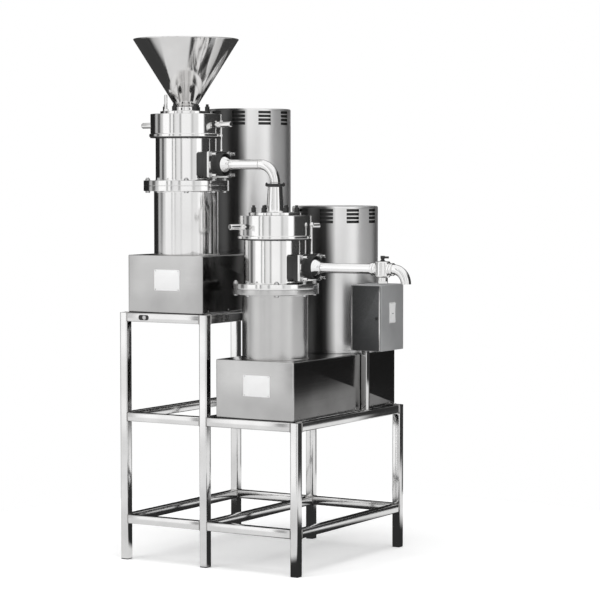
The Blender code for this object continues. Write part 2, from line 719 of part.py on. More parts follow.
def motor_rotor(stage, finishes, mill):
    """The motor's shaft with its rotor pack and its fan."""
    pack = FAN_LIFT
    fan = MOTOR_HEIGHT + FAN_LIFT
    section = [
        (0, SHAFT_FOOT),
        (MOTOR_SHAFT, SHAFT_FOOT),
        (MOTOR_SHAFT, pack),
        (ROTOR_PACK, pack),
        (ROTOR_PACK, MOTOR_HEIGHT - pack),
        (MOTOR_SHAFT, MOTOR_HEIGHT - pack),
        (MOTOR_SHAFT, fan),
        (FAN_RADIUS, fan),
        (FAN_RADIUS, fan + FAN_TALL),
        (0, fan + FAN_TALL),
    ]
    place = {"parent": mill, "location": (0, DRIVE_CENTRES, 0)}
    turned(f"{stage}_motor_rotor", section, SLIM, finishes["machined"], **place)


def motor_drum(stage, finishes, mill):
    """A sheet drum over the motor, closed on top, with groups of level vent slots near its top."""
    heights = [SEAT_GAP]
    for row in reversed(range(VENT_ROWS)):
        top = DRUM_HEIGHT - VENT_TOP - row * VENT_PITCH
        heights += [top - VENT_SLOT, top]
    heights.append(DRUM_HEIGHT - VENT_TOP / 2)
    per_group = DRUM_SIDES // VENT_GROUPS
    angles = [math.radians(VENT_TURN) + 2 * math.pi * side / DRUM_SIDES for side in range(DRUM_SIDES)]

    def is_open(band, side):
        return band % 2 == 1 and band < 2 * VENT_ROWS and side % per_group < per_group // 2

    vertices = []
    for radius in (DRUM_RADIUS, DRUM_RADIUS - DRUM_WALL):
        for height in heights:
            for angle in angles:
                vertices.append((radius * math.cos(angle), radius * math.sin(angle), height))
    inner = DRUM_SIDES * len(heights)
    faces = []
    for band in range(len(heights) - 1):
        for side in range(DRUM_SIDES):
            after = (side + 1) % DRUM_SIDES
            low, high = band * DRUM_SIDES, (band + 1) * DRUM_SIDES
            corners = [low + side, low + after, high + after, high + side]
            if not is_open(band, side):
                faces.append(tuple(corners))
                faces.append(tuple(inner + corner for corner in reversed(corners)))
                continue
            edges = [corners[:2], corners[2:]]
            if not is_open(band, after):
                edges.append(corners[1:3])
            if not is_open(band, (side - 1) % DRUM_SIDES):
                edges.append([corners[3], corners[0]])
            faces += [(a, b, inner + b, inner + a) for a, b in edges]
    for side in range(DRUM_SIDES):
        after = (side + 1) % DRUM_SIDES
        faces.append((side, after, inner + after, inner + side))
    rim = DRUM_SIDES * (len(heights) - 1)
    shoulder = len(vertices)
    radius = DRUM_RADIUS - VENT_TOP / 2
    for height in (DRUM_HEIGHT, DRUM_HEIGHT - DRUM_WALL):
        for angle in angles:
            vertices.append((radius * math.cos(angle), radius * math.sin(angle), height))
    for side in range(DRUM_SIDES):
        after = (side + 1) % DRUM_SIDES
        faces.append((rim + side, rim + after, shoulder + after, shoulder + side))
        within = shoulder + DRUM_SIDES
        faces.append((inner + rim + after, inner + rim + side, within + side, within + after))
    faces.append(tuple(range(shoulder, shoulder + DRUM_SIDES)))
    faces.append(tuple(reversed(range(shoulder + DRUM_SIDES, shoulder + 2 * DRUM_SIDES))))
    place = {"parent": mill, "location": (0, DRIVE_CENTRES, 0)}
    object_from(f"{stage}_motor_drum", vertices, faces, finishes["brushed"], **place)


# ---- Funnel, pipes and valve --------------------------------------------------------------------
def feed_funnel(finishes, mill):
    """The cone over the upper mill, with a spigot in the cap's socket and a turned-out rim."""
    seat = RING_TOP + SEAT_GAP + CAP_THICK + SOCKET_TALL + SEAT_GAP
    foot = SPIGOT + 2 * FUNNEL_WALL
    rim = seat + FUNNEL_HEIGHT
    bead = 0.003
    tip = seat - SOCKET_TALL - CAP_THICK / 2
    section = [
        (SPIGOT - FUNNEL_WALL, tip),
        (SPIGOT, tip),
        (SPIGOT, seat),
        (foot, seat),
        (FUNNEL_RIM, rim),
        (FUNNEL_RIM + bead, rim),
        (FUNNEL_RIM + bead, rim + bead),
        (FUNNEL_RIM - bead, rim + bead),
        (SPIGOT - FUNNEL_WALL, seat),
    ]
    turned("feed_funnel", section, ROUND, finishes["polished"], parent=mill)


def outlet_pipe(name, path, radii, finishes, mill):
    """A pipe from a mill's outlet: a rectangular plate, a reducer and the pipe, bored through."""
    steel = finishes["polished"]
    pipe = swept(name, path, radii, SLIM, steel, parent=mill)
    wide, tall = OUTLET_WIDTH / 2 + PLATE_MARGIN, OUTLET_TALL / 2 + PLATE_MARGIN
    low = (FLANGE_FACE, -wide, OUTLET_HEIGHT - tall)
    high = (FLANGE_FACE + PIPE_PLATE, wide, OUTLET_HEIGHT + tall)
    combine(pipe, block(f"{name}_plate", low, high, steel), "UNION")
    first = (path[0][0] - PIPE_PLATE, path[0][1])
    (x0, z0), (x1, z1) = path[-2:]
    stretch = 2 * PIPE_WALL / math.hypot(x1 - x0, z1 - z0)
    last = (x1 + (x1 - x0) * stretch, z1 + (z1 - z0) * stretch)
    bores = [radii[0] - 2 * PIPE_WALL, radii[0] - 2 * PIPE_WALL] + [PIPE_BORE] * (len(path) - 1)
    inside = swept(f"{name}_bore", [first, *path[:-1], last], bores, SLIM, steel)
    combine(pipe, inside, "DIFFERENCE")
    return pipe


def transfer_pipe(finishes, mill):
    """From the upper mill's outlet across and down into the neck of the lower mill's cap."""
    start = FLANGE_FACE + PIPE_PLATE / 2
    taper = start + REDUCER_LENGTH
    pitch = MILL_X["lower"] - MILL_X["upper"]
    neck_top = RING_TOP + SEAT_GAP + CAP_THICK + NECK_HEIGHT
    end = CASE_TOP["lower"] - CASE_TOP["upper"] + neck_top - SLIP
    arc = bend((pitch - TRANSFER_BEND, OUTLET_HEIGHT - TRANSFER_BEND), TRANSFER_BEND, 90, 0, 7)
    path = [(start, OUTLET_HEIGHT), (taper, OUTLET_HEIGHT), *arc, (pitch, end)]
    radii = [MOUTH_RATIO * PIPE_RADIUS] + [PIPE_RADIUS] * (len(path) - 1)
    outlet_pipe("transfer_pipe", path, radii, finishes, mill)


def union_ring(finishes, mill):
    """The packing ring on top of the neck, in which the transfer pipe slides."""
    seat = RING_TOP + SEAT_GAP + CAP_THICK + NECK_HEIGHT + SEAT_GAP
    bore = PIPE_RADIUS + SEAT_GAP
    outer = PIPE_RADIUS + UNION_WALL
    top = seat + UNION_TALL
    bevel = 2 * PIPE_WALL
    section = [(bore, seat), (outer, seat), (outer, top - bevel), (outer - bevel, top), (bore, top)]
    turned("pipe_union_ring", section, SLIM, finishes["polished"], parent=mill)


def discharge_pipe(finishes, mill):
    """From the lower mill's outlet straight to the valve."""
    start = FLANGE_FACE + PIPE_PLATE / 2
    taper = start + REDUCER_LENGTH
    end = VALVE_OFFSET - VALVE_HALF - SEAT_GAP
    step = end - COUPLING_LONG
    xs = (start, taper, step - PIPE_WALL, step, end)
    radii = [MOUTH_RATIO * PIPE_RADIUS, PIPE_RADIUS, PIPE_RADIUS, PIPE_COLLAR, PIPE_COLLAR]
    outlet_pipe("discharge_pipe", [(x, OUTLET_HEIGHT) for x in xs], radii, finishes, mill)


def valve_body(finishes, mill):
    """A three-way body: a barrel for the plug, a branch to each side and a spout below."""
    steel = finishes["polished"]
    barrel = PIPE_RADIUS + BARREL_WALL
    tall = barrel + PIPE_WALL
    floor = 2 * PIPE_WALL - tall
    cap = tall + COUPLING
    profile = [(0, -tall), (barrel, -tall), (barrel, tall), (0, tall)]
    place = {"location": (VALVE_OFFSET, 0, OUTLET_HEIGHT), "parent": mill}
    body = turned("valve_body", profile, SLIM, steel, **place)
    ends = (-VALVE_HALF, VALVE_HALF)
    branch = [(0, ends[0]), *((PIPE_COLLAR, end) for end in ends), (0, ends[1])]
    combine(body, turned("valve_branches", branch, SLIM, steel, axis="X"), "UNION")
    spout = [(0, -SPOUT_DROP), (PIPE_RADIUS, -SPOUT_DROP), (PIPE_RADIUS, 0), (0, 0)]
    combine(body, turned("valve_spout", spout, SLIM, steel), "UNION")
    chamber = PIPE_RADIUS + PLUG_WALL + RUNNING_GAP
    port = PIPE_BORE - PIPE_WALL
    inside = [
        (0, -SPOUT_DROP - PIPE_WALL),
        (PIPE_BORE, -SPOUT_DROP - PIPE_WALL),
        (PIPE_BORE, floor),
        (chamber, floor),
        (chamber, cap),
        (0, cap),
    ]
    combine(body, turned("valve_chamber", inside, SLIM, steel), "DIFFERENCE")
    long = VALVE_HALF + PIPE_WALL
    across = [(0, -long), (port, -long), (port, long), (0, long)]
    combine(body, turned("valve_ports", across, SLIM, steel, axis="X"), "DIFFERENCE")


def valve_plug(finishes, mill):
    """The turning plug, bored across and below, with its stem and head."""
    steel = finishes["black"]
    plug = PIPE_RADIUS + PLUG_WALL
    low = PIPE_WALL + SEAT_GAP - PIPE_RADIUS - BARREL_WALL
    high = PIPE_RADIUS + BARREL_WALL + PIPE_WALL / 2
    neck = high + 4 * PIPE_WALL
    top = neck + 8 * PIPE_WALL
    section = [
        (0, low),
        (plug, low),
        (plug, high),
        (STEM_RADIUS, high),
        (STEM_RADIUS, neck),
        (PLUG_HEAD, neck),
        (PLUG_HEAD, top),
        (0, top),
    ]
    place = {"location": (VALVE_OFFSET, 0, OUTLET_HEIGHT), "parent": mill}
    made = turned("valve_plug", section, SLIM, steel, **place)
    port = PIPE_BORE - 1.5 * PIPE_WALL
    long = plug + PIPE_WALL
    across = [(0, -long), (port, -long), (port, long), (0, long)]
    combine(made, turned("plug_bore", across, SLIM, steel, axis="X"), "DIFFERENCE")
    narrow = port - PIPE_WALL
    down = [(0, low - PIPE_WALL), (narrow, low - PIPE_WALL), (narrow, 0), (0, 0)]
    combine(made, turned("plug_drop", down, SLIM, steel), "DIFFERENCE")


def discharge_elbow(finishes, mill):
    """The last bend, from the valve's far side down to the height of its spout."""
    steel = finishes["polished"]
    start = VALVE_OFFSET + VALVE_HALF + SEAT_GAP
    step = start + COUPLING_LONG
    arc = bend((step + PIPE_WALL, OUTLET_HEIGHT - ELBOW_BEND), ELBOW_BEND, 90, 0, 7)
    end = OUTLET_HEIGHT - SPOUT_DROP - PIPE_WALL / 2
    path = [(start, OUTLET_HEIGHT), (step, OUTLET_HEIGHT), *arc, (arc[-1][0], end)]
    radii = [PIPE_COLLAR, PIPE_COLLAR] + [PIPE_RADIUS] * (len(path) - 2)
    elbow = swept("discharge_elbow", path, radii, SLIM, steel, parent=mill)
    inner = [(start - PIPE_WALL, OUTLET_HEIGHT), *path[1:-1], (path[-1][0], end - PIPE_WALL)]
    inside = swept("elbow_bore", inner, [PIPE_BORE] * len(inner), SLIM, steel)
    combine(elbow, inside, "DIFFERENCE")


# ---- Control box --------------------------------------------------------------------------------
def control_box(finishes, root):
    """A sheet box on a square post that stands on the right side frame's upper rail."""
    paint = finishes["paint"]
    low = (BOX_X, BOX_SETBACK, BOX_Z)
    high = (BOX_X + BOX_WIDTH, BOX_SETBACK + BOX_DEPTH, BOX_Z + BOX_HEIGHT)
    box = block("control_box", low, high, paint, parent=root)
    x = LEG_X[2] + TUBE - POST - 0.002
    y = BOX_SETBACK + BOX_DEPTH / 2 - POST / 2
    post_low = (x, y, LOWER_DECK + SEAT_GAP)
    post_high = (x + POST, y + POST, BOX_Z + POST)
    combine(box, block("control_box_post", post_low, post_high, paint), "UNION")
    face = high[0]
    middle = (low[1] + high[1]) / 2
    wide = SWITCH_HALF_WIDTH + SWITCH_PLAY
    tall = SWITCH_HALF_HEIGHT + SWITCH_PLAY
    centre = BOX_Z + SWITCH_RISE + SWITCH_HALF_HEIGHT
    recess_low = (face - RECESS_DEPTH, middle - wide, centre - tall)
    recess_high = (face + RECESS_DEPTH, middle + wide, centre + tall)
    combine(box, block("switch_recess", recess_low, recess_high, paint), "DIFFERENCE")


def control_switch(finishes, root):
    """A rocker in the box's side, tilting about a level pin behind its face."""
    face = BOX_X + BOX_WIDTH
    middle = BOX_SETBACK + BOX_DEPTH / 2
    centre = BOX_Z + SWITCH_RISE + SWITCH_HALF_HEIGHT
    wide = SWITCH_HALF_WIDTH + SWITCH_PLAY / 2
    tall = SWITCH_HALF_HEIGHT - 3 * SWITCH_PLAY
    half = [(-0.0072, 0.003), (0.001, tall), (0.008, tall)]
    outline = [*half, (0.004, 0.0), *((x, -z) for x, z in reversed(half))]
    count = len(outline)
    vertices = [(x, y, z) for y in (-wide, wide) for x, z in outline]
    faces = [tuple(range(count)), tuple(range(count, 2 * count))]
    faces += [(i, (i + 1) % count, count + (i + 1) % count, count + i) for i in range(count)]
    place = {"parent": root, "location": (face - 0.002, middle, centre)}
    object_from("control_switch", vertices, faces, finishes["plastic"], **place)


# ---- Assembly -----------------------------------------------------------------------------------
def build_mill(stage, finishes, root):
    """One mill with its belt case, drive and motor, in a frame on its axis at the case's top."""
    mill = empty(f"{stage}_mill", (MILL_X[stage], MILL_Y, CASE_TOP[stage]), root)
    belt_case(stage, finishes, mill)
    case_floor(stage, finishes, mill)
    bearing_housing(stage, finishes, mill)
    bearing_cartridge(stage, finishes, mill)
    main_shaft(stage, finishes, mill)
    rotor(stage, finishes, mill)
    stator(stage, finishes, mill)
    grinding_chamber(stage, finishes, mill)
    adjusting_ring(stage, finishes, mill)
    ring_handles(stage, finishes, mill)
    ring_lock(stage, finishes, mill)
    inlet_cap(stage, finishes, mill)
    motor(stage, finishes, mill)
    motor_rotor(stage, finishes, mill)
    motor_drum(stage, finishes, mill)
    drive_belt(stage, finishes, mill)
    steel = finishes["cast"]
    pulley(f"{stage}_mill_pulley", MILL_PULLEY, SHAFT_RADIUS + SEAT_GAP, steel, parent=mill)
    place = {"parent": mill, "location": (0, DRIVE_CENTRES, 0)}
    pulley(f"{stage}_motor_pulley", MOTOR_PULLEY, MOTOR_SHAFT + SEAT_GAP, steel, **place)
    return mill


def centre_on_floor(root):
    """Moves the whole machine so that the middle of its box is over the origin."""
    bpy.context.view_layer.update()
    graph = bpy.context.evaluated_depsgraph_get()
    corners = []
    for item in bpy.context.scene.objects:
        if item.type == "MESH" and not item.hide_render:
            evaluated = item.evaluated_get(graph)
            corners += [evaluated.matrix_world @ Vector(corner) for corner in evaluated.bound_box]
    for axis in (0, 1):
        values = [corner[axis] for corner in corners]
        root.location[axis] = -(min(values) + max(values)) / 2


def main():
    """Clears the scene and builds the machine in it."""
    for item in list(bpy.data.objects):
        bpy.data.objects.remove(item, do_unlink=True)
    finishes = make_finishes()
    root = empty("mill_set", (0, 0, 0))
    stand(finishes, root)
    upper = build_mill("upper", finishes, root)
    lower = build_mill("lower", finishes, root)
    feed_funnel(finishes, upper)
    transfer_pipe(finishes, upper)
    union_ring(finishes, lower)
    discharge_pipe(finishes, lower)
    valve_body(finishes, lower)
    valve_plug(finishes, lower)
    discharge_elbow(finishes, lower)
    control_box(finishes, root)
    control_switch(finishes, root)
    centre_on_floor(root)


main()
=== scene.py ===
"""Looks of the two-stage grinding mill set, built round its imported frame.

Each visible piece is a surface worked out on a grid and rides on the body it belongs to.
Lengths are in metres and +Z is up, as in the frame.
"""

import bmesh
import bpy
import numpy as np
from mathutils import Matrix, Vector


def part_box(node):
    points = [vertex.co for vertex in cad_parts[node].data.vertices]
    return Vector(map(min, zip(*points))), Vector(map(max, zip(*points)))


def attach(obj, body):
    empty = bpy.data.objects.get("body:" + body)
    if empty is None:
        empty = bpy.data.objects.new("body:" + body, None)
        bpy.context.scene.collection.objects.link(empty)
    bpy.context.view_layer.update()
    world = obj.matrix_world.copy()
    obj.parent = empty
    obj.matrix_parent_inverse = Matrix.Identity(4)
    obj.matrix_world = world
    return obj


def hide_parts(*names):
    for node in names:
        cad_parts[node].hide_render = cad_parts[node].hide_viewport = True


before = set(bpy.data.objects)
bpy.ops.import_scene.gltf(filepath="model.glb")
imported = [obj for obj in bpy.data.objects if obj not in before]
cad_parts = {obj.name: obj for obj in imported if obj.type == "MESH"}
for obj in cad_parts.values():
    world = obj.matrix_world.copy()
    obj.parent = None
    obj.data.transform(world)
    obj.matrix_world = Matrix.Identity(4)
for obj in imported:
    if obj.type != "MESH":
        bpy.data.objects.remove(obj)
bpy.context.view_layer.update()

# ---- Sizes that the frame's boxes don't give ---------------------------------------------------
SEAT_GAP = 0.0003  # between parts that touch
AXIS = 0.0002  # how near to its axis the outline of a solid starts and ends
TUBE_CORNER = 0.0055
RAIL_EDGE = 0.0004
HOUSING_RADIUS = 0.148
CHAMBER_RADIUS = 0.140
SHELL = 0.008  # of a turned wall whose inside isn't seen
FLANGE_THICK = 0.0237
RING_LIP = 0.0055
RING_LIP_TALL = 0.012
RING_SHADE_DROP = 0.0055  # how far the painted shade under the ring reaches below it
CAP_THICK = 0.012
HANDLE_HEIGHT = 0.590
HANDLE_REACH = 0.262
GRIP_LENGTH = 0.078
OUTLET_HEIGHT = 0.410
OUTLET_HALF = (0.085, 0.052)
PLATE_HALF = (0.093, 0.060)
OUTLET_REACH = 0.150
OUTLET_PLATE = 0.022
PIPE_PLATE = 0.012
STUD_LENGTH = 0.034
PIPE_RADIUS = 0.0225
PIPE_BORE = 0.0205
MOUTH_RADIUS = 0.0495
REDUCER = 0.060
DRUM_RADIUS = 0.200
DRUM_WALL = 0.0025
DRUM_Y = 0.27275  # of both drums' axes
VENT_TOP = 0.012
VENT_PITCH = 0.0175
VENT_SLOT = 0.0125
VENT_ROWS = 4
VENT_GROUPS = 10
BOLT_ACROSS = 0.0105  # half of a hexagon's width over its corners
VENT_TURN = np.radians(18.5)  # the middle of a vent group
BOLT_TURN = np.radians(33.75)
SCREW_TURN = np.radians(30)
STUD_TURN = np.radians(-130)
SHARP = np.radians(38)  # faces that meet at more than this keep a sharp edge
LEFT, RIGHT, FRONT, UP, DOWN = (-1, 0, 0), (1, 0, 0), (0, -1, 0), (0, 0, 1), (0, 0, -1)


# ---- Shapes ------------------------------------------------------------------------------------
def soft_corners(outline, radius, steps=4, closed=False):
    """Rounds an outline: each corner becomes a curve from that far before it to that far after.

    A point of the curve is (1 - t)^2 start + 2 t (1 - t) corner + t^2 end, for t from 0 to 1.
    The radius is one for all corners or a list with one for each, cut to 0.45 of the shorter side.
    """
    points = np.asarray(outline, float)
    sides = [np.roll(points, turn, axis=0) - points for turn in (1, -1)]
    lengths = [np.maximum(np.linalg.norm(side, axis=1, keepdims=True), 1e-9) for side in sides]
    cut = np.minimum(np.reshape(radius, (-1, 1)), 0.45 * np.minimum(*lengths))
    start, end = [(points + side / long * cut)[:, None] for side, long in zip(sides, lengths)]
    t = np.linspace(0, 1, steps + 1)[None, :, None]
    curve = (1 - t) ** 2 * start + 2 * t * (1 - t) * points[:, None] + t**2 * end
    curve = curve.reshape(-1, 2)
    if closed:
        return curve
    return np.vstack([points[:1], curve[steps + 1 : -(steps + 1)], points[-1:]])


def surface(points, closed):
    """A shell from a (rows, columns, 3) grid: closed end to end, or capped at both its ends."""
    rows, columns = points.shape[:2]
    row = np.arange(rows if closed else rows - 1)[:, None]
    column = np.arange(columns)[None, :]
    next_row, next_column = (row + 1) % rows, (column + 1) % columns
    corners = (
        row * columns + column,
        row * columns + next_column,
        next_row * columns + next_column,
        next_row * columns + column,
    )
    faces = np.stack(np.broadcast_arrays(*corners), axis=-1).reshape(-1, 4).tolist()
    if not closed:
        faces.append(list(range(columns))[::-1])
        faces.append(list(range((rows - 1) * columns, rows * columns)))
    return points.reshape(-1, 3), faces


def turned(outline, sides, closed=False, first=0.0):
    """A surface of revolution about Z: a point (r, h) becomes the circle (r cos a, r sin a, h)."""
    outline = np.asarray(outline, float)
    angle = first + np.linspace(0, 2 * np.pi, sides, endpoint=False)
    radius, height = outline[:, 0, None], outline[:, 1, None]
    wide = np.broadcast_to(height, (len(outline), sides))
    points = np.stack([radius * np.cos(angle), radius * np.sin(angle), wide], axis=-1)
    return surface(points, closed)


def hoop(inner, outer, low, high):
    """The outline of a plain ring or, from the axis, of a plain rod."""
    return [(inner, low), (outer, low), (outer, high), (inner, high)]


def soft_rod(outline, radius, sides, steps=4):
    """A solid of revolution with soft corners, from an outline that starts and ends at the axis."""
    return turned(soft_corners(outline, radius, steps), sides)


def soft_ring(outline, radius, sides, steps=3):
    """A ring of revolution with soft corners, from an outline that closes on itself."""
    return turned(soft_corners(outline, radius, steps, True), sides, True)


def circle(sides=32):
    """Points (cos a, sin a) of a circle of radius one."""
    angle = np.linspace(0, 2 * np.pi, sides, endpoint=False)
    return np.stack([np.cos(angle), np.sin(angle)], axis=-1)


def rounded_rectangle(half_width, half_height, corner, steps=4):
    """Four quarter circles of the corner's radius, about points that far in from the corners."""
    quarter = np.linspace(0, np.pi / 2, steps + 1)
    angle = (np.arange(4)[:, None] * np.pi / 2 + quarter).ravel()
    sign_x = np.repeat([1, -1, -1, 1], steps + 1)
    sign_y = np.repeat([1, 1, -1, -1], steps + 1)
    x = sign_x * (half_width - corner) + corner * np.cos(angle)
    y = sign_y * (half_height - corner) + corner * np.sin(angle)
    return np.stack([x, y], axis=-1)


def slab(low, high, along=2, corner=0.003, edge=0.001, steps=3):
    """A box of rounded rectangles along an axis, drawn in by a quarter circle at its ends."""
    low, high = np.asarray(low, float), np.asarray(high, float)
    u, v = ((1, 2), (2, 0), (0, 1))[along]
    half = (high - low) / 2
    turn = np.linspace(0, np.pi / 2, steps + 1)
    inset = edge * (1 - np.sin(turn))
    depth = edge * (1 - np.cos(turn))
    inset = np.concatenate([inset, inset[::-1]])
    place = np.concatenate([depth - half[along], half[along] - depth[::-1]])
    loops = [rounded_rectangle(half[u] - i, half[v] - i, max(corner - i, AXIS)) for i in inset]
    loops = np.array(loops)
    points = np.zeros((*loops.shape[:2], 3))
    points[..., u] = loops[..., 0]
    points[..., v] = loops[..., 1]
    points[..., along] = place[:, None]
    return surface(points + (low + high) / 2, False)


def block(centre, half, along=2, corner=0.003, edge=0.001):
    """A slab about its centre."""
    return slab(np.subtract(centre, half), np.add(centre, half), along, corner, edge)


def carried(path, radius, bore=None, section=None, across=(0.0, 1.0, 0.0)):
    """A section carried along a path, lying across it, times the radius there.

    With a bore the surface goes back through the inside at that radius, so that a pipe has a wall.
    """
    path = np.asarray(path, float)
    section = circle() if section is None else section
    along = np.gradient(path, axis=0)
    along /= np.linalg.norm(along, axis=1, keepdims=True)
    across = np.asarray(across, float)
    up = np.cross(along, across)
    ring = section[None, :, 0, None] * across + section[None, :, 1, None] * up[:, None]
    outer = path[:, None] + ring * np.broadcast_to(radius, len(path))[:, None, None]
    if bore is None:
        return surface(outer, False)
    inner = path[:, None] + ring * np.broadcast_to(bore, len(path))[:, None, None]
    return surface(np.concatenate([outer, inner[::-1]]), True)


def bead(centre, half, normal, radius=0.0024):
    """A weld bead: a circle of radius r (1 + 0.15 sin 2.4 n), carried round a square tube."""
    u, v = ((1, 2), (2, 0), (0, 1))[normal]
    outline = rounded_rectangle(half, half, corner=0.004, steps=3)
    loop = np.zeros((len(outline), 3))
    loop[:, u], loop[:, v] = outline[:, 0], outline[:, 1]
    ahead = np.roll(loop, -1, axis=0) - np.roll(loop, 1, axis=0)
    ahead /= np.linalg.norm(ahead, axis=1, keepdims=True)
    lift = np.zeros(3)
    lift[normal] = 1.0
    out = np.cross(ahead, lift)
    section = circle(8)
    swell, step = 0.15, 2.4
    radius = radius * (1 + swell * np.sin(np.arange(len(loop)) * step))[:, None, None]
    ring = section[None, :, 0, None] * out[:, None] + section[None, :, 1, None] * lift
    return surface(loop[:, None] + ring * radius + np.asarray(centre, float), True)


def placed(shell, at=(0, 0, 0), toward=UP):
    """A shell moved to a point, its own Z turned toward a direction."""
    points, faces = shell
    z = np.asarray(toward, float) / np.linalg.norm(toward)
    helper = RIGHT if abs(z[2]) > 0.9 else UP
    x = np.cross(helper, z)
    x /= np.linalg.norm(x)
    return points @ np.array([x, np.cross(z, x), z]) + np.asarray(at, float), faces


def hex_bolt(at, toward, across, head, shank=0.0, washer=True):
    """A washer, a chamfered hexagon head and a thread end that stands out of it."""
    hexagon = [(0.92 * across, 0), (across, 0.0006)]
    hexagon += [(across, head - 0.001), (0.86 * across, head)]
    shells = [placed(turned(hexagon, 6), at, toward)]
    if washer:
        disc = turned([(1.25 * across, -0.0004), (1.25 * across, 0.0014)], 24)
        shells.append(placed(disc, at, toward))
    if shank:
        thread, tip = 0.62 * across, head + shank
        end = turned([(thread, 0), (thread, tip - 0.001), (0.50 * across, tip)], 16)
        shells.append(placed(end, at, toward))
    return shells


def ring_of(count, radius, centre, height, first):
    """Points evenly spaced on a circle."""
    angle = first + 2 * np.pi * np.arange(count) / count
    x, y = centre[0] + radius * np.cos(angle), centre[1] + radius * np.sin(angle)
    return np.stack([x, y, np.full(count, height)], axis=-1)


# ---- Finishes ----------------------------------------------------------------------------------
def feed(tree, target, inputs):
    """Sets inputs of a node, by name or number, each to a value or to another node's output."""
    for name, value in inputs.items():
        if isinstance(value, bpy.types.NodeSocket):
            tree.links.new(value, target.inputs[name])
        else:
            target.inputs[name].default_value = value


def node(tree, kind, inputs):
    """A new shader node with its inputs."""
    made = tree.nodes.new("ShaderNode" + kind)
    feed(tree, made, inputs)
    return made


def noise(tree, place, scale, detail=3.0, stretch=(1, 1, 1)):
    """Noise in the object's own coordinates, drawn out where the stretch is small."""
    place = node(tree, "Mapping", {"Vector": place, "Scale": stretch}).outputs["Vector"]
    inputs = {"Vector": place, "Scale": scale, "Detail": detail}
    return node(tree, "TexNoise", inputs).outputs["Fac"]


def spread(tree, value, low, high, from_low=0.3, from_high=0.7):
    """Maps a value onto a range; as given, that of a noise."""
    inputs = {"From Min": from_low, "From Max": from_high, "To Min": low, "To Max": high}
    return node(tree, "MapRange", {"Value": value, **inputs}).outputs["Result"]


def blend(tree, share, first, second):
    """A colour between two others."""
    mix = tree.nodes.new("ShaderNodeMix")
    mix.data_type = "RGBA"
    feed(tree, mix, {"Factor": share, "A": first, "B": second})
    return mix.outputs["Result"]


def plain(name, colour, metallic, roughness):
    """A Principled material with its node tree, its shader and the object's own coordinates."""
    material = bpy.data.materials.new(name)
    material.use_nodes = True
    tree = material.node_tree
    shader = tree.nodes["Principled BSDF"]
    feed(tree, shader, {"Base Color": colour, "Metallic": metallic, "Roughness": roughness})
    return material, tree, shader, node(tree, "TexCoord", {}).outputs["Object"]


def textured(name, tones, metallic, rough, grain, cloud_scale, depth, strength):
    """A grain moves the roughness and lifts the surface, and clouds of handling move the colour."""
    material, tree, shader, place = plain(name, tones[1], metallic, rough[0])
    grain = noise(tree, place, *grain)
    share = spread(tree, noise(tree, place, cloud_scale), 0.0, 1.0)
    colour = blend(tree, share, *tones)
    feed(tree, shader, {"Base Color": colour, "Roughness": spread(tree, grain, *rough)})
    if depth:
        lift = {"Height": grain, "Strength": strength, "Distance": depth}
        feed(tree, shader, {"Normal": node(tree, "Bump", lift).outputs["Normal"]})
    return material


def steel(name, tones, rough, grain, depth, brushed=0.0):
    """Stainless steel with a drawn-out grain; its depth is that of its scratches.

    Brushed steel has its grain round the object's Z, so it spreads what it reflects up and down.
    """
    material = textured(name, tones, 1.0, rough, (1.0, 4.0, grain), 5.0, depth, 0.35)
    if brushed:
        tree = material.node_tree
        around = tree.nodes.new("ShaderNodeTangent")
        around.direction_type = "RADIAL"
        around.axis = "Z"
        quarter_turn = 0.25
        inputs = {"Anisotropic": brushed, "Anisotropic Rotation": quarter_turn}
        feed(tree, tree.nodes["Principled BSDF"], {**inputs, "Tangent": around.outputs["Tangent"]})
    return material


def coating(name, tones, rough, pebble_scale, depth, metallic=0.0):
    """Paint, plastic or rubber: fine pebbling and a slight change of colour over the surface."""
    return textured(name, tones, metallic, rough, (pebble_scale, 2.0), 7.0, depth, 0.5)


def paint_mill_shade(material, dark_to, light_from):
    """Paints shade into brushed sheet's colour on its front, darkening it where it stands close
    behind the mill.
    """
    tree = material.node_tree
    shader = tree.nodes["Principled BSDF"]
    colour = shader.inputs["Base Color"].links[0].from_socket
    place = node(tree, "TexCoord", {}).outputs["Object"]
    back = node(tree, "SeparateXYZ", {"Vector": place}).outputs["Y"]
    share = spread(tree, back, 0.10, 1.0, dark_to, light_from)
    feed(tree, shader, {"Base Color": blend(tree, share, grey(0.0), colour)})


def grey(value, warmth=0.0):
    """A neutral colour, a little warm or cold."""
    return (value + warmth, value, value - warmth, 1)


def greys(dark, light, warmth=0.0):
    """Two tones of grey."""
    return grey(dark, warmth), grey(light, warmth)


ROUND_GRAIN, LEVEL_GRAIN, EVEN_GRAIN = (3, 3, 260), (3, 3, 320), (160, 160, 160)
TUBE = (greys(0.70, 0.88, 0.003), (0.08, 0.13))
POLISHED = steel("polished", greys(0.85, 0.92, 0.004), (0.06, 0.10), ROUND_GRAIN, 3e-6)
SATIN_ROUND = steel("satin_round", greys(0.60, 0.68, 0.004), (0.262, 0.268), ROUND_GRAIN, 0, 0.3)
TURNED = steel("turned", greys(0.84, 0.92, 0.004), (0.11, 0.14), ROUND_GRAIN, 0, 0.5)
CONE = steel("cone", greys(0.74, 0.88, 0.006), (0.08, 0.12), (40, 40, 3), 0, 0.3)
DRUM = steel("drum_sheet", greys(0.88, 0.94, 0.003), (0.38, 0.39), ROUND_GRAIN, 0, 0.5)
# painted shade: the drum's colour goes near black on its front, where the mill stands close
paint_mill_shade(DRUM, dark_to=DRUM_Y - 0.191, light_from=DRUM_Y - 0.171)
PIPE = steel("pipe_sheet", greys(0.88, 0.94, 0.003), (0.10, 0.15), EVEN_GRAIN, 4e-6)
SATIN_SHEET = steel("satin_sheet", greys(0.50, 0.60, 0.003), (0.15, 0.20), LEVEL_GRAIN, 4e-6)
# painted shade: a much darker copy of the case's satin sheet, for the case's two ends
SHADED_SIDE_SHEET = steel("side_sheet_shade", greys(0.15, 0.21, 0.002), (0.14, 0.20), LEVEL_GRAIN, 4e-6)
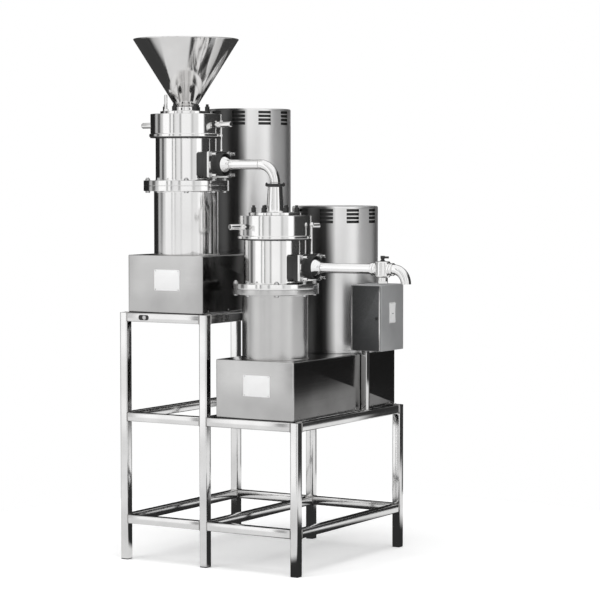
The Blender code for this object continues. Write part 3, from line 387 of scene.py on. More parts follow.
LEG_TUBE = steel("leg_tube", *TUBE, (260, 260, 3), 6e-6)
CROSS_TUBE = steel("cross_tube", *TUBE, (3, 260, 260), 6e-6)
DEEP_TUBE = steel("deep_tube", *TUBE, (260, 3, 260), 6e-6)
WELD = steel("weld", (grey(0.42, 0.010), grey(0.60, 0.006)), (0.26, 0.40), EVEN_GRAIN, 2e-4)
MACHINED = steel("machined", greys(0.48, 0.58), (0.22, 0.34), (4, 4, 500), 6e-5)
ZINC = steel("bolt_steel", greys(0.52, 0.66), (0.22, 0.32), (120, 120, 120), 8e-5)
CAST = coating("rough_cast", greys(0.12, 0.19), (0.50, 0.66), 420, 3e-4, 0.7)
ENAMEL = coating("enamel", greys(0.34, 0.42, -0.004), (0.34, 0.46), 900, 8e-5, 0.3)
# painted shade: a much darker copy of the box's enamel, for the door's front face
SHADED_DOOR = coating("door_shade_enamel", greys(0.07, 0.10, -0.002), (0.24, 0.34), 900, 6e-5, 0.5)
RUBBER = coating("rubber", greys(0.018, 0.035), (0.62, 0.80), 600, 2e-4)
WHITE = coating("white_plate", greys(0.80, 0.86), (0.30, 0.42), 500, 4e-5)
BLACK = coating("blackened", greys(0.02, 0.045), (0.28, 0.42), 700, 8e-5, 0.4)


def piece(name, shells, finish, body="frame", *stands_for):
    """One object from closed shells: faces out, smooth but for sharp edges, riding on its body."""
    starts = np.cumsum([0] + [len(points) for points, _ in shells[:-1]])
    points = np.vstack([points for points, _ in shells])
    pairs = zip(starts, [faces for _, faces in shells])
    faces = [[start + i for i in face] for start, shell in pairs for face in shell]
    mesh = bpy.data.meshes.new(name)
    mesh.from_pydata(points.tolist(), [], faces)
    work = bmesh.new()
    work.from_mesh(mesh)
    bmesh.ops.recalc_face_normals(work, faces=work.faces)
    work.to_mesh(mesh)
    work.free()
    mesh.shade_smooth()
    mesh.set_sharp_from_angle(angle=SHARP)
    mesh.materials.append(finish)
    made = bpy.data.objects.new(name, mesh)
    bpy.context.scene.collection.objects.link(made)
    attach(made, body)
    if stands_for:
        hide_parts(*stands_for)


# ---- Stand -------------------------------------------------------------------------------------
def box(node):
    """The lowest and highest corner of a node, as arrays."""
    low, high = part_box(node)
    return np.array(low), np.array(high)


def side_frame(name, levels):
    """Two uprights on black plugs, with a tube between them at each level; gives its weld beads."""
    low, high = box(name)
    tube = high[0] - low[0]
    plug, inset, bite = 0.004, 0.0012, 0.0006
    legs, plugs, rails, beads = [], [], [], []
    for front in (low[1], high[1] - tube):
        rear = front + tube
        legs.append(slab((low[0], front, plug), (high[0], rear, high[2]), 2, TUBE_CORNER, 0.0012))
        near = (low[0] + inset, front + inset, 0)
        plugs.append(slab(near, (high[0] - inset, rear - inset, plug + 0.0005)))
    for level in levels:
        ends = (low[1] + tube - bite, high[1] - tube + bite)
        near, far = (low[0], ends[0], level - tube), (high[0], ends[1], level)
        rails.append(slab(near, far, 1, TUBE_CORNER, RAIL_EDGE))
        x, z = low[0] + tube / 2, level - tube / 2
        beads += [bead((x, end, z), tube / 2, 1) for end in ends]
    piece(name + "_legs", legs, LEG_TUBE, "frame", name)
    piece(name + "_rails", rails, DEEP_TUBE)
    piece(name + "_plugs", plugs, RUBBER)
    return beads


def cross_rail(name):
    """A tube between two side frames; gives the bead round each of its ends."""
    low, high = box(name)
    low[0] -= 2 * SEAT_GAP
    high[0] += 2 * SEAT_GAP
    tube = slab(low, high, 0, TUBE_CORNER, RAIL_EDGE)
    piece(name + "_tube", [tube], CROSS_TUBE, "frame", name)
    y, z = (low + high)[1:] / 2
    return [bead((x, y, z), (high[1] - low[1]) / 2, 0) for x in (low[0], high[0])]


def stand():
    """All tubes of the stand, and their welds ground flush at the rear."""
    heights = {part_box(f"left_bay_{level}_front_rail")[1].z for level in ("low", "middle", "top")}
    levels = sorted(heights)
    beads = side_frame("left_side_frame", levels)
    beads += side_frame("middle_side_frame", levels)
    beads += side_frame("right_side_frame", levels[:2])
    for bay, rails in (("left", ("low", "middle", "top")), ("right", ("low", "middle"))):
        for level in rails:
            for row in ("front", "rear"):
                beads += cross_rail(f"{bay}_bay_{level}_{row}_rail")
    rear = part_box("left_side_frame")[1].y - SEAT_GAP
    ground = [(np.minimum(points, (np.inf, rear, np.inf)), faces) for points, faces in beads]
    piece("stand_welds", ground, WELD)


def hold_down():
    """A slot with its bolt in the front face of the left bay's top rail; the slot is a black plate
    that paints the shade inside it.
    """
    low, high = box("left_bay_top_front_rail")
    from_left, proud = 0.133, 0.0004
    middle = np.array((box("left_side_frame")[0][0] + from_left, low[1], (low[2] + high[2]) / 2))
    slot = block(middle, (0.028, proud, 0.012), 1, corner=0.010, edge=0.0002)
    # painted shade: a black plate proud of the rail stands for the shade in the slot
    piece("rail_slot_shade", [slot], BLACK)
    bolt = hex_bolt(middle + (0.004, -proud, 0), FRONT, across=0.0075, head=0.0026)
    piece("rail_bolt", bolt, ZINC)


# ---- Belt case and motor drum ------------------------------------------------------------------
def belt_case(stage):
    """A folded sheet case on a dark strip that paints the shadow gap under it, with darker side
    sheets that paint shade on its ends, a bare plate and screws along its foot.
    """
    name = f"{stage}_belt_case"
    low, high = box(name)
    strip, side, proud = 0.0035, 0.007, 0.0004
    sheet = slab(low + (0, 0, strip), high, corner=0.006, edge=0.004, steps=4)
    piece(f"{stage}_case_sheet", [sheet], SATIN_SHEET, "frame", name)
    # painted shade: darker sheets laid on the case's two ends
    sides = []
    for x in (low[0] - proud, high[0] + proud - 0.001):
        near = (x, low[1] + side, low[2] + 0.008)
        sides.append(slab(near, (x + 0.001, high[1] - side, high[2] - 0.005), 0, edge=0.0003))
    piece(f"{stage}_case_shade_sides", sides, SHADED_SIDE_SHEET)
    # painted shade: a dark rubber strip under the case stands for the shadow gap at its foot
    inset = np.array((0.0015, 0.0015, 0))
    shade_strip_high = (*(high - inset)[:2], low[2] + strip + 0.001)
    packing = slab(low + inset, shade_strip_high, corner=0.005, edge=0.0005)
    piece(f"{stage}_case_shade_strip", [packing], RUBBER)
    half = np.array((0.0685, 0.0007, 0.047))
    centre = np.array(((low[0] + high[0]) / 2 + 0.012, low[1] - 0.0005, low[2] + 0.151))
    piece(f"{stage}_name_plate", [block(centre, half, 1, edge=0.0004)], WHITE)
    rivet = soft_rod([(0.0026, 0), (0.0026, 0.0008), (0.0004, 0.0016)], 0.001, 16)
    share = 0.90
    spots = [centre + half * (x, 0, z) * share for x in (-1, 1) for z in (-1, 1)]
    rivets = [placed(rivet, spot - (0, 0.0009, 0), FRONT) for spot in spots]
    piece(f"{stage}_plate_rivets", rivets, ZINC)
    screw = turned([(0.0042, 0), (0.0038, 0.0016), (0.0018, 0.0024)], 16)
    screws = []
    for x, out in ((low[0], LEFT), (high[0], RIGHT)):
        for y in np.linspace(low[1] + 0.05, high[1] - 0.05, 6):
            screws.append(placed(screw, (x, y, low[2] + 0.014), out))
    piece(f"{stage}_case_screws", screws, ZINC)


def drum_shell(bottom, top):
    """A sheet drum: an inner wall, the foot, an outer wall and a flat lid, with vents.

    The grid's rows follow the outline. Each vent leaves out its cells in both walls and joins
    the walls along its edges.
    """
    per_group = 12
    columns = VENT_GROUPS * per_group
    vents = top - VENT_TOP - VENT_PITCH * np.arange(VENT_ROWS)[::-1]
    heights = np.concatenate([[bottom], np.stack([vents - VENT_SLOT, vents], axis=-1).ravel()])
    bend = np.linspace(0, np.pi / 2, 6)
    turn, hole = 0.008, DRUM_RADIUS * 0.02
    outer = [(DRUM_RADIUS, h) for h in heights]
    inside, under = DRUM_RADIUS - turn, top - turn
    outer += [(inside + turn * np.cos(a), under + turn * np.sin(a)) for a in bend]
    outer += [(DRUM_RADIUS * 0.6, top), (hole, top)]
    inner = [(DRUM_RADIUS - DRUM_WALL, h) for h in heights]
    inner += [(inside, top - DRUM_WALL), (hole, top - DRUM_WALL)]
    outline = inner[::-1] + outer
    quarter_group = np.pi / 2 / VENT_GROUPS
    points, faces = turned(outline, columns, first=VENT_TURN - quarter_group)
    cells = np.array(faces[:-2]).reshape(len(outline) - 1, columns, 4)
    keep = np.ones(cells.shape[:2], bool)
    open_column = np.arange(columns) % per_group < per_group // 2
    start = np.flatnonzero(open_column)
    after = (start + 1) % columns
    edge = np.flatnonzero(open_column != np.roll(open_column, 1))
    walls = []
    for band in range(1, len(heights), 2):
        out, back = len(inner) + band, len(inner) - 1 - band
        keep[out, open_column] = keep[back - 1, open_column] = False
        low_out, low_in = out * columns, back * columns
        high_out, high_in = low_out + columns, low_in - columns
        for o, i in ((low_out, low_in), (high_out, high_in)):
            walls.append(np.stack([o + start, o + after, i + after, i + start], -1))
        sides = (low_out + edge, high_out + edge, high_in + edge, low_in + edge)
        walls.append(np.stack(sides, -1))
    return points, np.vstack([cells[keep], *walls]).tolist() + faces[-2:]


def motor_drum(stage):
    """The motor's vented drum: a band at its foot, a black sheet behind its vents that paints the
    shade inside the drum, screws.
    """
    name = f"{stage}_motor_drum"
    low, high = box(name)
    x, y = (low[:2] + high[:2]) / 2
    shell = placed(drum_shell(low[2], high[2]), (x, y, 0))
    piece(f"{stage}_drum_shell", [shell], DRUM, "frame", name)
    band = hoop(DRUM_RADIUS - 0.001, DRUM_RADIUS + 0.0022, 0, 0.014)
    band = placed(soft_ring(band, 0.001, 96, 4), (x, y, low[2]))
    piece(f"{stage}_drum_band", [band], DRUM)
    vents_foot = high[2] - VENT_TOP - VENT_ROWS * VENT_PITCH
    # painted shade: a black sheet just inside the vents stands for the dark inside the drum
    shade_sheet = hoop(DRUM_RADIUS - 0.012, DRUM_RADIUS - 0.011, vents_foot, high[2] - 0.004)
    piece(f"{stage}_vent_shade_sheet", [placed(turned(shade_sheet, 96, True), (x, y, 0))], BLACK)
    screw = soft_rod([(0.0065, 0), (0.0065, 0.0026), (AXIS, 0.0032)], 0.0012, 20)
    spots = ring_of(3, 0.75 * DRUM_RADIUS, (x, y), high[2] - 0.0022, BOLT_TURN)
    piece(f"{stage}_drum_screws", [placed(screw, spot) for spot in spots], ZINC)


# ---- Mill --------------------------------------------------------------------------------------
def mill_seat(stage):
    """The point on a mill's axis at the top of its belt case."""
    low, high = box(f"{stage}_bearing_housing")
    case_top = box(f"{stage}_belt_case")[1][2]
    return np.array(((low[0] + high[0]) / 2, (low[1] + high[1]) / 2, case_top))


def turned_box(name, seat):
    """A turned node's foot and top above a seat, and its radius."""
    low, high = box(name)
    return low[2] - seat[2], high[2] - seat[2], (high[0] - low[0]) / 2


def housing(stage, seat):
    """The bearing housing: a rolled wall with its flange, a weld at its foot, the bolts."""
    node_name = f"{stage}_bearing_housing"
    top, rim = turned_box(node_name, seat)[1:]
    foot, under = 0.0004, top - FLANGE_THICK
    back = HOUSING_RADIUS - SHELL
    outline = [(back, foot), (HOUSING_RADIUS, foot), (HOUSING_RADIUS, under)]
    outline += [(rim, under), (rim, top), (back, top)]
    wall = soft_ring(outline, [0.001, 0.001, 0.006, 0.0016, 0.0016, 0.001], 128, 5)
    look = TURNED if stage == "upper" else SATIN_ROUND
    piece(f"{stage}_housing_wall", [placed(wall, seat)], look, "frame", node_name)
    inside = HOUSING_RADIUS - 0.001
    weld = soft_ring([(inside, 0), (HOUSING_RADIUS + 0.004, 0), (inside, 0.005)], 0.0015, 128)
    piece(f"{stage}_housing_weld", [placed(weld, seat + (0, 0, 0.0003))], WELD)
    bolts, bolt_circle = [], rim - 0.019
    for spot in ring_of(8, bolt_circle, seat, seat[2] + under, BOLT_TURN):
        bolts += hex_bolt(spot, DOWN, BOLT_ACROSS, head=0.0085)
    chamber_shelf = seat[2] + top + FLANGE_THICK + SEAT_GAP
    for spot in ring_of(8, bolt_circle, seat, chamber_shelf, BOLT_TURN):
        bolts += hex_bolt(spot, UP, BOLT_ACROSS, head=0.0090, shank=0.004)
    piece(f"{stage}_flange_bolts", bolts, ZINC)


def chamber(stage, seat):
    """The grinding chamber's wall and flange."""
    low, high = box(f"{stage}_grinding_chamber")
    base, top = low[2] - seat[2], high[2] - seat[2]
    rim = seat[0] - low[0]
    back = CHAMBER_RADIUS - SHELL
    shelf = base + FLANGE_THICK
    outline = [(back, base), (rim, base), (rim, shelf)]
    outline += [(CHAMBER_RADIUS, shelf), (CHAMBER_RADIUS, top), (back, top)]
    wall = soft_ring(outline, [0.001, 0.0016, 0.0016, 0.006, 0.002, 0.001], 128, 5)
    node_name = f"{stage}_grinding_chamber"
    piece(f"{stage}_chamber_wall", [placed(wall, seat)], TURNED, "frame", node_name)


def outlet(stage, seat):
    """The chamber's outlet: a block and its plate, blackened to paint their shade, a cover on
    packing, studs, nuts, and a black ring round the reducer that paints the shade there.
    """
    middle = seat + (0, 0, OUTLET_HEIGHT)
    far = OUTLET_REACH + OUTLET_PLATE
    near = far + SEAT_GAP
    face = near + PIPE_PLATE

    def plate(start, stop, half, corner=0.006, edge=0.0016):
        half = np.array((0, *half))
        return slab(middle - half + (start, 0, 0), middle + half + (stop, 0, 0), 0, corner, edge)

    inside = 0.112  # where the block starts, within the chamber's wall
    body = plate(inside, OUTLET_REACH + 0.002, OUTLET_HALF, edge=0.001)
    flange = plate(OUTLET_REACH, far, PLATE_HALF)
    cover = plate(near, face, PLATE_HALF)
    # painted shade: the block and its plate are blackened to stand for the outlet's shaded sides
    piece(f"{stage}_outlet_block", [body, flange], BLACK)
    piece(f"{stage}_outlet_cover", [cover], CROSS_TUBE)
    lap, share = 0.0006, 0.97
    half = np.array(PLATE_HALF) * share
    packing = plate(far - lap, near + lap, half, corner=0.005, edge=0.0002)
    piece(f"{stage}_outlet_packing", [packing], RUBBER)
    studs, nuts = [], []
    stud_y, stud_z, sunk = PLATE_HALF[0] - 0.015, PLATE_HALF[1] - 0.012, 0.004
    stud = soft_rod(hoop(AXIS, 0.006, 0, STUD_LENGTH), 0.0012, 24)
    for y in (-stud_y, stud_y):
        for z in (-stud_z, stud_z):
            spot = middle + (face, y, z)
            studs.append(placed(stud, spot - (sunk, 0, 0), RIGHT))
            nuts += hex_bolt(spot, RIGHT, BOLT_ACROSS, head=0.010)
    piece(f"{stage}_outlet_studs", studs, CROSS_TUBE)
    piece(f"{stage}_outlet_nuts", nuts, ZINC)
    # painted shade: a black rubber ring round the reducer stands for the shade between the plates
    mouth_shade = soft_ring(hoop(MOUTH_RADIUS - 0.002, MOUTH_RADIUS + 0.003, 0, 0.030), 0.001, 64)
    mouth_shade = placed(mouth_shade, middle + (face - 0.0005, 0, 0), RIGHT)
    piece(f"{stage}_outlet_mouth_shade", [mouth_shade], RUBBER)


def adjusting_ring(stage, seat):
    """The ring with its lip, a dark ring under its lip that paints the shadow gap there, and its two
    handles on black bosses that paint the shade at their base.
    """
    foot, top, lip = turned_box(f"{stage}_adjusting_ring", seat)
    outer = lip - RING_LIP
    bore, inner = CHAMBER_RADIUS + 0.0008, 0.1008
    ledge = top - 0.036
    outline = [(bore, foot), (lip, foot), (lip, foot + RING_LIP_TALL)]
    outline += [(outer, foot + RING_LIP_TALL + 0.002), (outer, top), (inner, top)]
    outline += [(inner, ledge), (bore, ledge)]
    radii = [0.0006, 0.0015, 0.0015, 0.002, 0.003, 0.001, 0.0005, 0.0005]
    body = f"{stage}_ring"
    ring = placed(soft_ring(outline, radii, 128, 5), seat)
    piece(f"{stage}_ring_wall", [ring], TURNED, body, f"{stage}_adjusting_ring")
    # painted shade: a dark rubber ring fills the gap under the lip to stand for its shadow
    gap_shade = soft_ring(hoop(bore, lip - 0.004, foot - RING_SHADE_DROP, foot + 0.0006), 0.0012, 128)
    piece(f"{stage}_ring_gap_shade", [placed(gap_shade, seat)], RUBBER, body)
    boss = [(AXIS, -0.003), (0.0125, -0.003), (0.0125, 0.004), (0.0085, 0.0062), (AXIS, 0.0062)]
    boss = soft_rod(boss, 0.001, 32)
    rod = soft_rod(hoop(AXIS, 0.006, outer, 0.188), 0.001, 24)
    grip = soft_rod(hoop(AXIS, 0.0128, HANDLE_REACH - GRIP_LENGTH, HANDLE_REACH), 0.004, 40, 6)
    middle = seat + (0, 0, HANDLE_HEIGHT)
    for number in (1, 2):
        node_name = f"{stage}_ring_handle_{number}"
        low, high = box(node_name)
        reach = (low + high)[:2] / 2 - seat[:2]
        toward = np.array((*(reach / np.linalg.norm(reach)), 0.0))
        handle = [placed(rod, middle, toward), placed(grip, middle, toward)]
        piece(f"{stage}_handle_{number}", handle, POLISHED, body, node_name)
        # painted shade: each boss is blackened to stand for the shade where the handle meets the
        # ring
        foot_boss = placed(boss, middle + toward * outer, toward)
        piece(f"{stage}_handle_shaded_boss_{number}", [foot_boss], BLACK, body)


def ring_lock(stage, seat):
    """The lock's rod with its foot nut, its cam and the ball knob at its top."""
    low, high = box(f"{stage}_ring_lock")
    knob = 0.010
    x, y = high[:2] - knob
    foot, top = low[2], high[2]
    tall = top - foot - 0.018
    stem = [(AXIS, 0), (0.0057, 0), (0.0057, 0.008), (0.004, 0.011), (0.004, tall), (AXIS, tall)]
    stem = placed(soft_rod(stem, 0.001, 24), (x, y, foot))
    bend = np.linspace(-np.pi / 2, np.pi / 2, 14)
    ball = np.stack([np.maximum(knob * np.cos(bend), AXIS), knob * np.sin(bend)], -1)
    ball = placed(turned(ball, 32), (x, y, top - knob))
    nut = hex_bolt((x, y, foot), UP, across=0.0075, head=0.006, washer=False)
    cam_low = box(f"{stage}_adjusting_ring")[0][2] + SEAT_GAP
    toward = seat[:2] - (x, y)
    toward /= np.linalg.norm(toward)
    round_end = 0.0055
    cam_middle = (low[0] + 0.007 - x, (low[1] + high[1]) / 2 - y)
    reach = np.linalg.norm(cam_middle) + round_end
    arm, faces = slab((0, -round_end, 0), (reach, round_end, 0.0095), corner=0.005)
    turn = np.array(((toward[0], toward[1], 0), (-toward[1], toward[0], 0), UP))
    cam = (arm @ turn + (x, y, cam_low), faces)
    shells = [stem, ball, cam, *nut]
    piece(f"{stage}_lock_rod", shells, POLISHED, f"{stage}_lock", f"{stage}_ring_lock")


def inlet_cap(stage, seat):
    """The cap on the stator: its socket or neck, black screws and, above, one tall stud."""
    foot, top, rim = turned_box(f"{stage}_inlet_cap", seat)
    face = foot + CAP_THICK
    if stage == "upper":
        bore = 0.0455
        neck = [(0.056, face), (0.053, top), (bore, top)]
        radii = [0.006, 0.0015, 0.001]
    else:
        bore = 0.0265
        neck = [(0.0455, face), (0.0385, face + 0.016), (0.0335, top - 0.02)]
        neck += [(0.0325, top), (bore, top)]
        radii = [0.006, 0.008, 0.004, 0.001, 0.001]
    outline = [(bore, foot), (rim, foot), (rim, face), *neck]
    cap = placed(soft_ring(outline, [0.0008, 0.001, 0.002, *radii], 128, 5), seat)
    body = f"{stage}_stator_set"
    piece(f"{stage}_cap_plate", [cap], POLISHED, body, f"{stage}_inlet_cap")
    screws, screw_circle = [], rim - 0.022
    for spot in ring_of(6, screw_circle, seat, seat[2] + face, SCREW_TURN):
        screws += hex_bolt(spot, UP, BOLT_ACROSS, head=0.022, shank=0.010)
    piece(f"{stage}_cap_screws", screws, BLACK, body)
    if stage == "upper":
        spot = ring_of(1, screw_circle, seat, seat[2] + face, STUD_TURN)[0]
        stud = soft_rod(hoop(AXIS, 0.007, 0, 0.074), 0.002, 24)
        nut = hex_bolt(spot, UP, across=0.012, head=0.010)
        piece("upper_cap_stud", [placed(stud, spot), *nut], POLISHED, body)


def funnel(seat):
    """The funnel: spigot, flared foot, cone and a rolled rim, with the seam of its cone."""
    tip, top, rim = turned_box("feed_funnel", seat)
    roll = 0.003
    rim -= roll
    cone_foot = box("upper_inlet_cap")[1][2] - seat[2] + SEAT_GAP
    bore, spigot, flare, thick = 0.0428, 0.045, 0.050, 0.0022
    bend = np.radians(np.linspace(-60, 210, 12))
    rolled = np.stack([rim + roll * np.cos(bend), top - roll + roll * np.sin(bend)], -1)
    outline = [(bore, tip), (spigot, tip), (spigot, cone_foot), (flare, cone_foot + 0.002)]
    outline += [*rolled.tolist(), (rim - 0.0045, top - 0.010)]
    outline += [(flare - thick, cone_foot + 0.004), (bore, cone_foot - 0.004)]
    cone = placed(turned(outline, 160, True), seat)
    piece("funnel_cone", [cone], CONE, "upper_stator_set", "feed_funnel")
    share = np.linspace(0.01, 0.985, 60)[:, None]
    turn = np.radians(150)
    start, end = np.array((flare, cone_foot + 0.002)), np.array((rim - 0.001, top - 0.006))
    run = start + (end - start) * share
    path = np.stack([run[:, 0] * np.cos(turn), run[:, 0] * np.sin(turn), run[:, 1]], -1) + seat
    seam = carried(path, 0.0013, None, circle(8), (-np.sin(turn), np.cos(turn), 0))
    piece("funnel_seam", [seam], WELD, "upper_stator_set")


# ---- Pipes and valve ---------------------------------------------------------------------------
def arc(centre, radius, steps):
    """Points (x, 0, z) of the quarter of an arc from its top to its right."""
    angle = np.radians(np.linspace(90, 0, steps))
    x, z = centre[0] + radius * np.cos(angle), centre[1] + radius * np.sin(angle)
    return np.stack([x, np.zeros(steps), z], -1)


def level_run(start, stop, steps=2):
    """Points (x, 0, z) of a level line at the outlet's height."""
    x = np.linspace(start, stop, steps)
    return np.stack([x, np.zeros(steps), np.full(steps, OUTLET_HEIGHT)], -1)


def reducer(steps=24):
    """A reducer's path and radii: from the mouth's radius to the pipe's by 3 s^2 - 2 s^3."""
    start = OUTLET_REACH + OUTLET_PLATE + SEAT_GAP + PIPE_PLATE - 0.001
    s = np.linspace(0, 1, steps)
    radii = MOUTH_RADIUS + (PIPE_RADIUS - MOUTH_RADIUS) * s * s * (3 - 2 * s)
    return level_run(start, start + REDUCER, steps), radii


def pipe(name, seat, path, node_name, radii=()):
    """A pipe with a wall, along a path about a mill's axis; past the radii given it is plain."""
    radii = np.concatenate([radii, np.full(len(path) - len(radii), PIPE_RADIUS)])
    shell = carried(path + seat, radii, radii - (PIPE_RADIUS - PIPE_BORE))
    piece(name, [shell], PIPE, "frame", node_name)


def joint_bead(at, toward):
    """A weld bead round a pipe."""
    inside, half = PIPE_RADIUS - 0.0008, 0.0022
    outline = [(inside, -half), (PIPE_RADIUS + 0.0012, 0), (inside, half)]
    return placed(soft_ring(outline, 0.0012, 40), at, toward)


def transfer_pipe(seat, lower_seat):
    """From the upper mill's outlet over and down into the neck of the lower mill's cap."""
    low, high = box("transfer_pipe")
    pitch = lower_seat[0] - seat[0]
    bend, gap = 0.080, 0.004
    mouth, radii = reducer()
    run = level_run(mouth[-1, 0] + gap, pitch - bend - gap)
    curve = arc((pitch - bend, OUTLET_HEIGHT - bend), bend, 28)
    drop = np.linspace(OUTLET_HEIGHT - bend - 0.01, low[2] - seat[2], 4)
    last = np.array([(pitch, 0, z) for z in drop])
    pipe("transfer_run", seat, np.vstack([mouth, run, curve, last]), "transfer_pipe", radii)
    joints = ((mouth[-1], RIGHT), (curve[0], RIGHT), (curve[-1], UP))
    beads = [joint_bead(seat + at, toward) for at, toward in joints]
    piece("transfer_welds", beads, WELD)
    low, high = box("pipe_union_ring")
    tall = high[2] - low[2]
    bore = PIPE_RADIUS + 0.0003
    outline = [(bore, 0), (0.0385, 0), (0.0405, 0.002)]
    outline += [(0.0405, tall - 0.004), (0.036, tall), (bore, tall)]
    shells = [placed(soft_ring(outline, 0.0012, 64), (*lower_seat[:2], low[2]))]
    half_ear = (0.0075, 0.005, 0.0045)
    for side in (-1, 1):
        ear = np.array((lower_seat[0] + side * 0.0425, lower_seat[1], low[2] + tall / 2))
        shells.append(block(ear, half_ear, corner=0.004))
        at = ear + (side * 0.002, 0, half_ear[2])
        shells += hex_bolt(at, UP, across=0.005, head=0.004, shank=0.003)
    piece("pipe_union", shells, BLACK, "lower_stator_set", "pipe_union_ring")


def discharge(seat):
    """From the lower mill's outlet to the valve."""
    mouth, radii = reducer()
    run = level_run(mouth[-1, 0] + 0.004, box("discharge_pipe")[1][0] - seat[0], 3)
    pipe("discharge_run", seat, np.vstack([mouth, run]), "discharge_pipe", radii)
    piece("discharge_weld", [joint_bead(seat + mouth[-1], RIGHT)], WELD)


def valve(seat):
    """The valve: collars, a barrel crossed by a branch, a spout below, the plug's stem and lever."""
    low, high = box("valve_body")
    centre = np.array(((low[0] + high[0]) / 2, seat[1], seat[2] + OUTLET_HEIGHT))
    half = (high[0] - low[0]) / 2
    end = np.array((half + SEAT_GAP, 0, 0))
    collar = soft_ring(hoop(PIPE_RADIUS - 0.001, 0.028, 0, 0.013), 0.0012, 48)
    collars = [placed(collar, centre - end, LEFT), placed(collar, centre + end, RIGHT)]
    piece("valve_collars", collars, POLISHED)
    barrel = [(AXIS, -0.0355), (0.029, -0.0355), (0.0335, -0.030), (0.0335, 0.029)]
    barrel += [(0.0300, 0.0345), (0.012, 0.0355), (AXIS, 0.0355)]
    barrel = placed(soft_rod(barrel, 0.003, 64), centre)
    branch = [(AXIS, -half), (0.028, -half), (0.028, 0.010 - half), (0.0245, 0.014 - half)]
    branch += [(r, -x) for r, x in branch[::-1]]
    branch = placed(soft_rod(branch, 0.0012, 48), centre, RIGHT)
    spout = hoop(PIPE_BORE, PIPE_RADIUS, low[2] - centre[2], -0.030)
    spout = placed(soft_ring(spout, 0.0006, 48), centre)
    piece("valve_shell", [barrel, branch, spout], POLISHED, "frame", "valve_body")
    top = box("valve_plug")[1][2] - centre[2]
    stem = [(AXIS, 0.0357), (0.0105, 0.0357), (0.0105, 0.040), (0.007, 0.0415)]
    stem += [(0.007, top - 0.014), (0.010, top - 0.012), (0.010, top), (AXIS, top)]
    stem = placed(soft_rod(stem, 0.0015, 32), centre)
    near, far = (-0.009, -0.0045, top - 0.011), (0.030, 0.0045, top - 0.002)
    lever = slab(centre + near, centre + far, corner=0.004, edge=0.0015)
    piece("valve_stem", [stem, lever], BLACK, "plug", "valve_plug")


def elbow(seat):
    """The open elbow after the valve."""
    low, high = box("discharge_elbow")
    bend = 0.060
    turn_at = high[0] - seat[0] - PIPE_RADIUS - bend
    run = level_run(low[0] - seat[0], turn_at - 0.002)
    curve = arc((turn_at, OUTLET_HEIGHT - bend), bend, 24)
    last = np.array([(turn_at + bend, 0, low[2] - seat[2])])
    pipe("elbow_run", seat, np.vstack([run, curve, last]), "discharge_elbow")


# ---- Control box -------------------------------------------------------------------------------
def control_box():
    """The box, its folded door with hinges and a lock, and its square post on a foot plate; the door
    is a darker copy of the box's enamel that paints shade on its front, and steel strips on its two
    edges paint their highlights.
    """
    low, high = box("control_box")
    foot = high[2] - 0.300
    fold, door_thick = 0.002, 0.0052
    case = slab((low[0] + fold, low[1] + 0.006, foot), high, corner=0.006, edge=0.003, steps=4)
    piece("control_case", [case], ENAMEL, "frame", "control_box")
    door_high = (high[0] - 0.003, low[1] + door_thick, high[2] - 0.003)
    door = slab((low[0] + fold, low[1], foot + 0.003), door_high, 1, corner=0.004, edge=0.0016)
    # painted shade: the door front is darker than the rest of the box
    piece("control_door", [door], SHADED_DOOR)
    # painted highlight: bright steel strips on the door's two edges stand for the light caught there
    edge_highlights = []
    for left, right in ((low[0] + 0.0018, low[0] + 0.0075), (high[0] - 0.0100, high[0] - 0.0032)):
        near = (left, low[1] - 0.0004, foot + 0.0035)
        far = (right, low[1] + 0.003, high[2] - 0.0035)
        edge_highlights.append(slab(near, far, corner=0.001, edge=0.0008))
    piece("control_door_edge_highlights", edge_highlights, CROSS_TUBE)
    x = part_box("right_side_frame")[1].x - 0.032
    y = (low[1] + high[1]) / 2
    half_post, half_pad = 0.015, 0.030
    post_high = (x + 2 * half_post, y + half_post, foot + 0.002)
    post = slab((x, y - half_post, low[2]), post_high, edge=0.0005)
    pad_high = (x + 0.0315, y + half_pad, low[2] + 0.004)
    pad = slab((x - 0.004, y - half_pad, low[2]), pad_high, edge=0.0008)
    piece("control_post", [post, pad], LEG_TUBE)
    pin = soft_rod(hoop(AXIS, 0.0035, -0.018, 0.018), 0.0006, 20)
    hinge = (low[0] + 0.0035, low[1] + 0.0035)
    hardware = [placed(pin, (*hinge, z)) for z in (foot + 0.045, high[2] - 0.045)]
    knob = [(AXIS, -0.001), (0.0075, -0.001), (0.0075, 0.002), (0.0060, 0.0026), (AXIS, 0.0026)]
    knob_at = (high[0] - 0.020, low[1] - 0.0002, (foot + high[2]) / 2)
    hardware.append(placed(soft_rod(knob, 0.0006, 28), knob_at, FRONT))
    piece("control_hardware", hardware, BLACK)


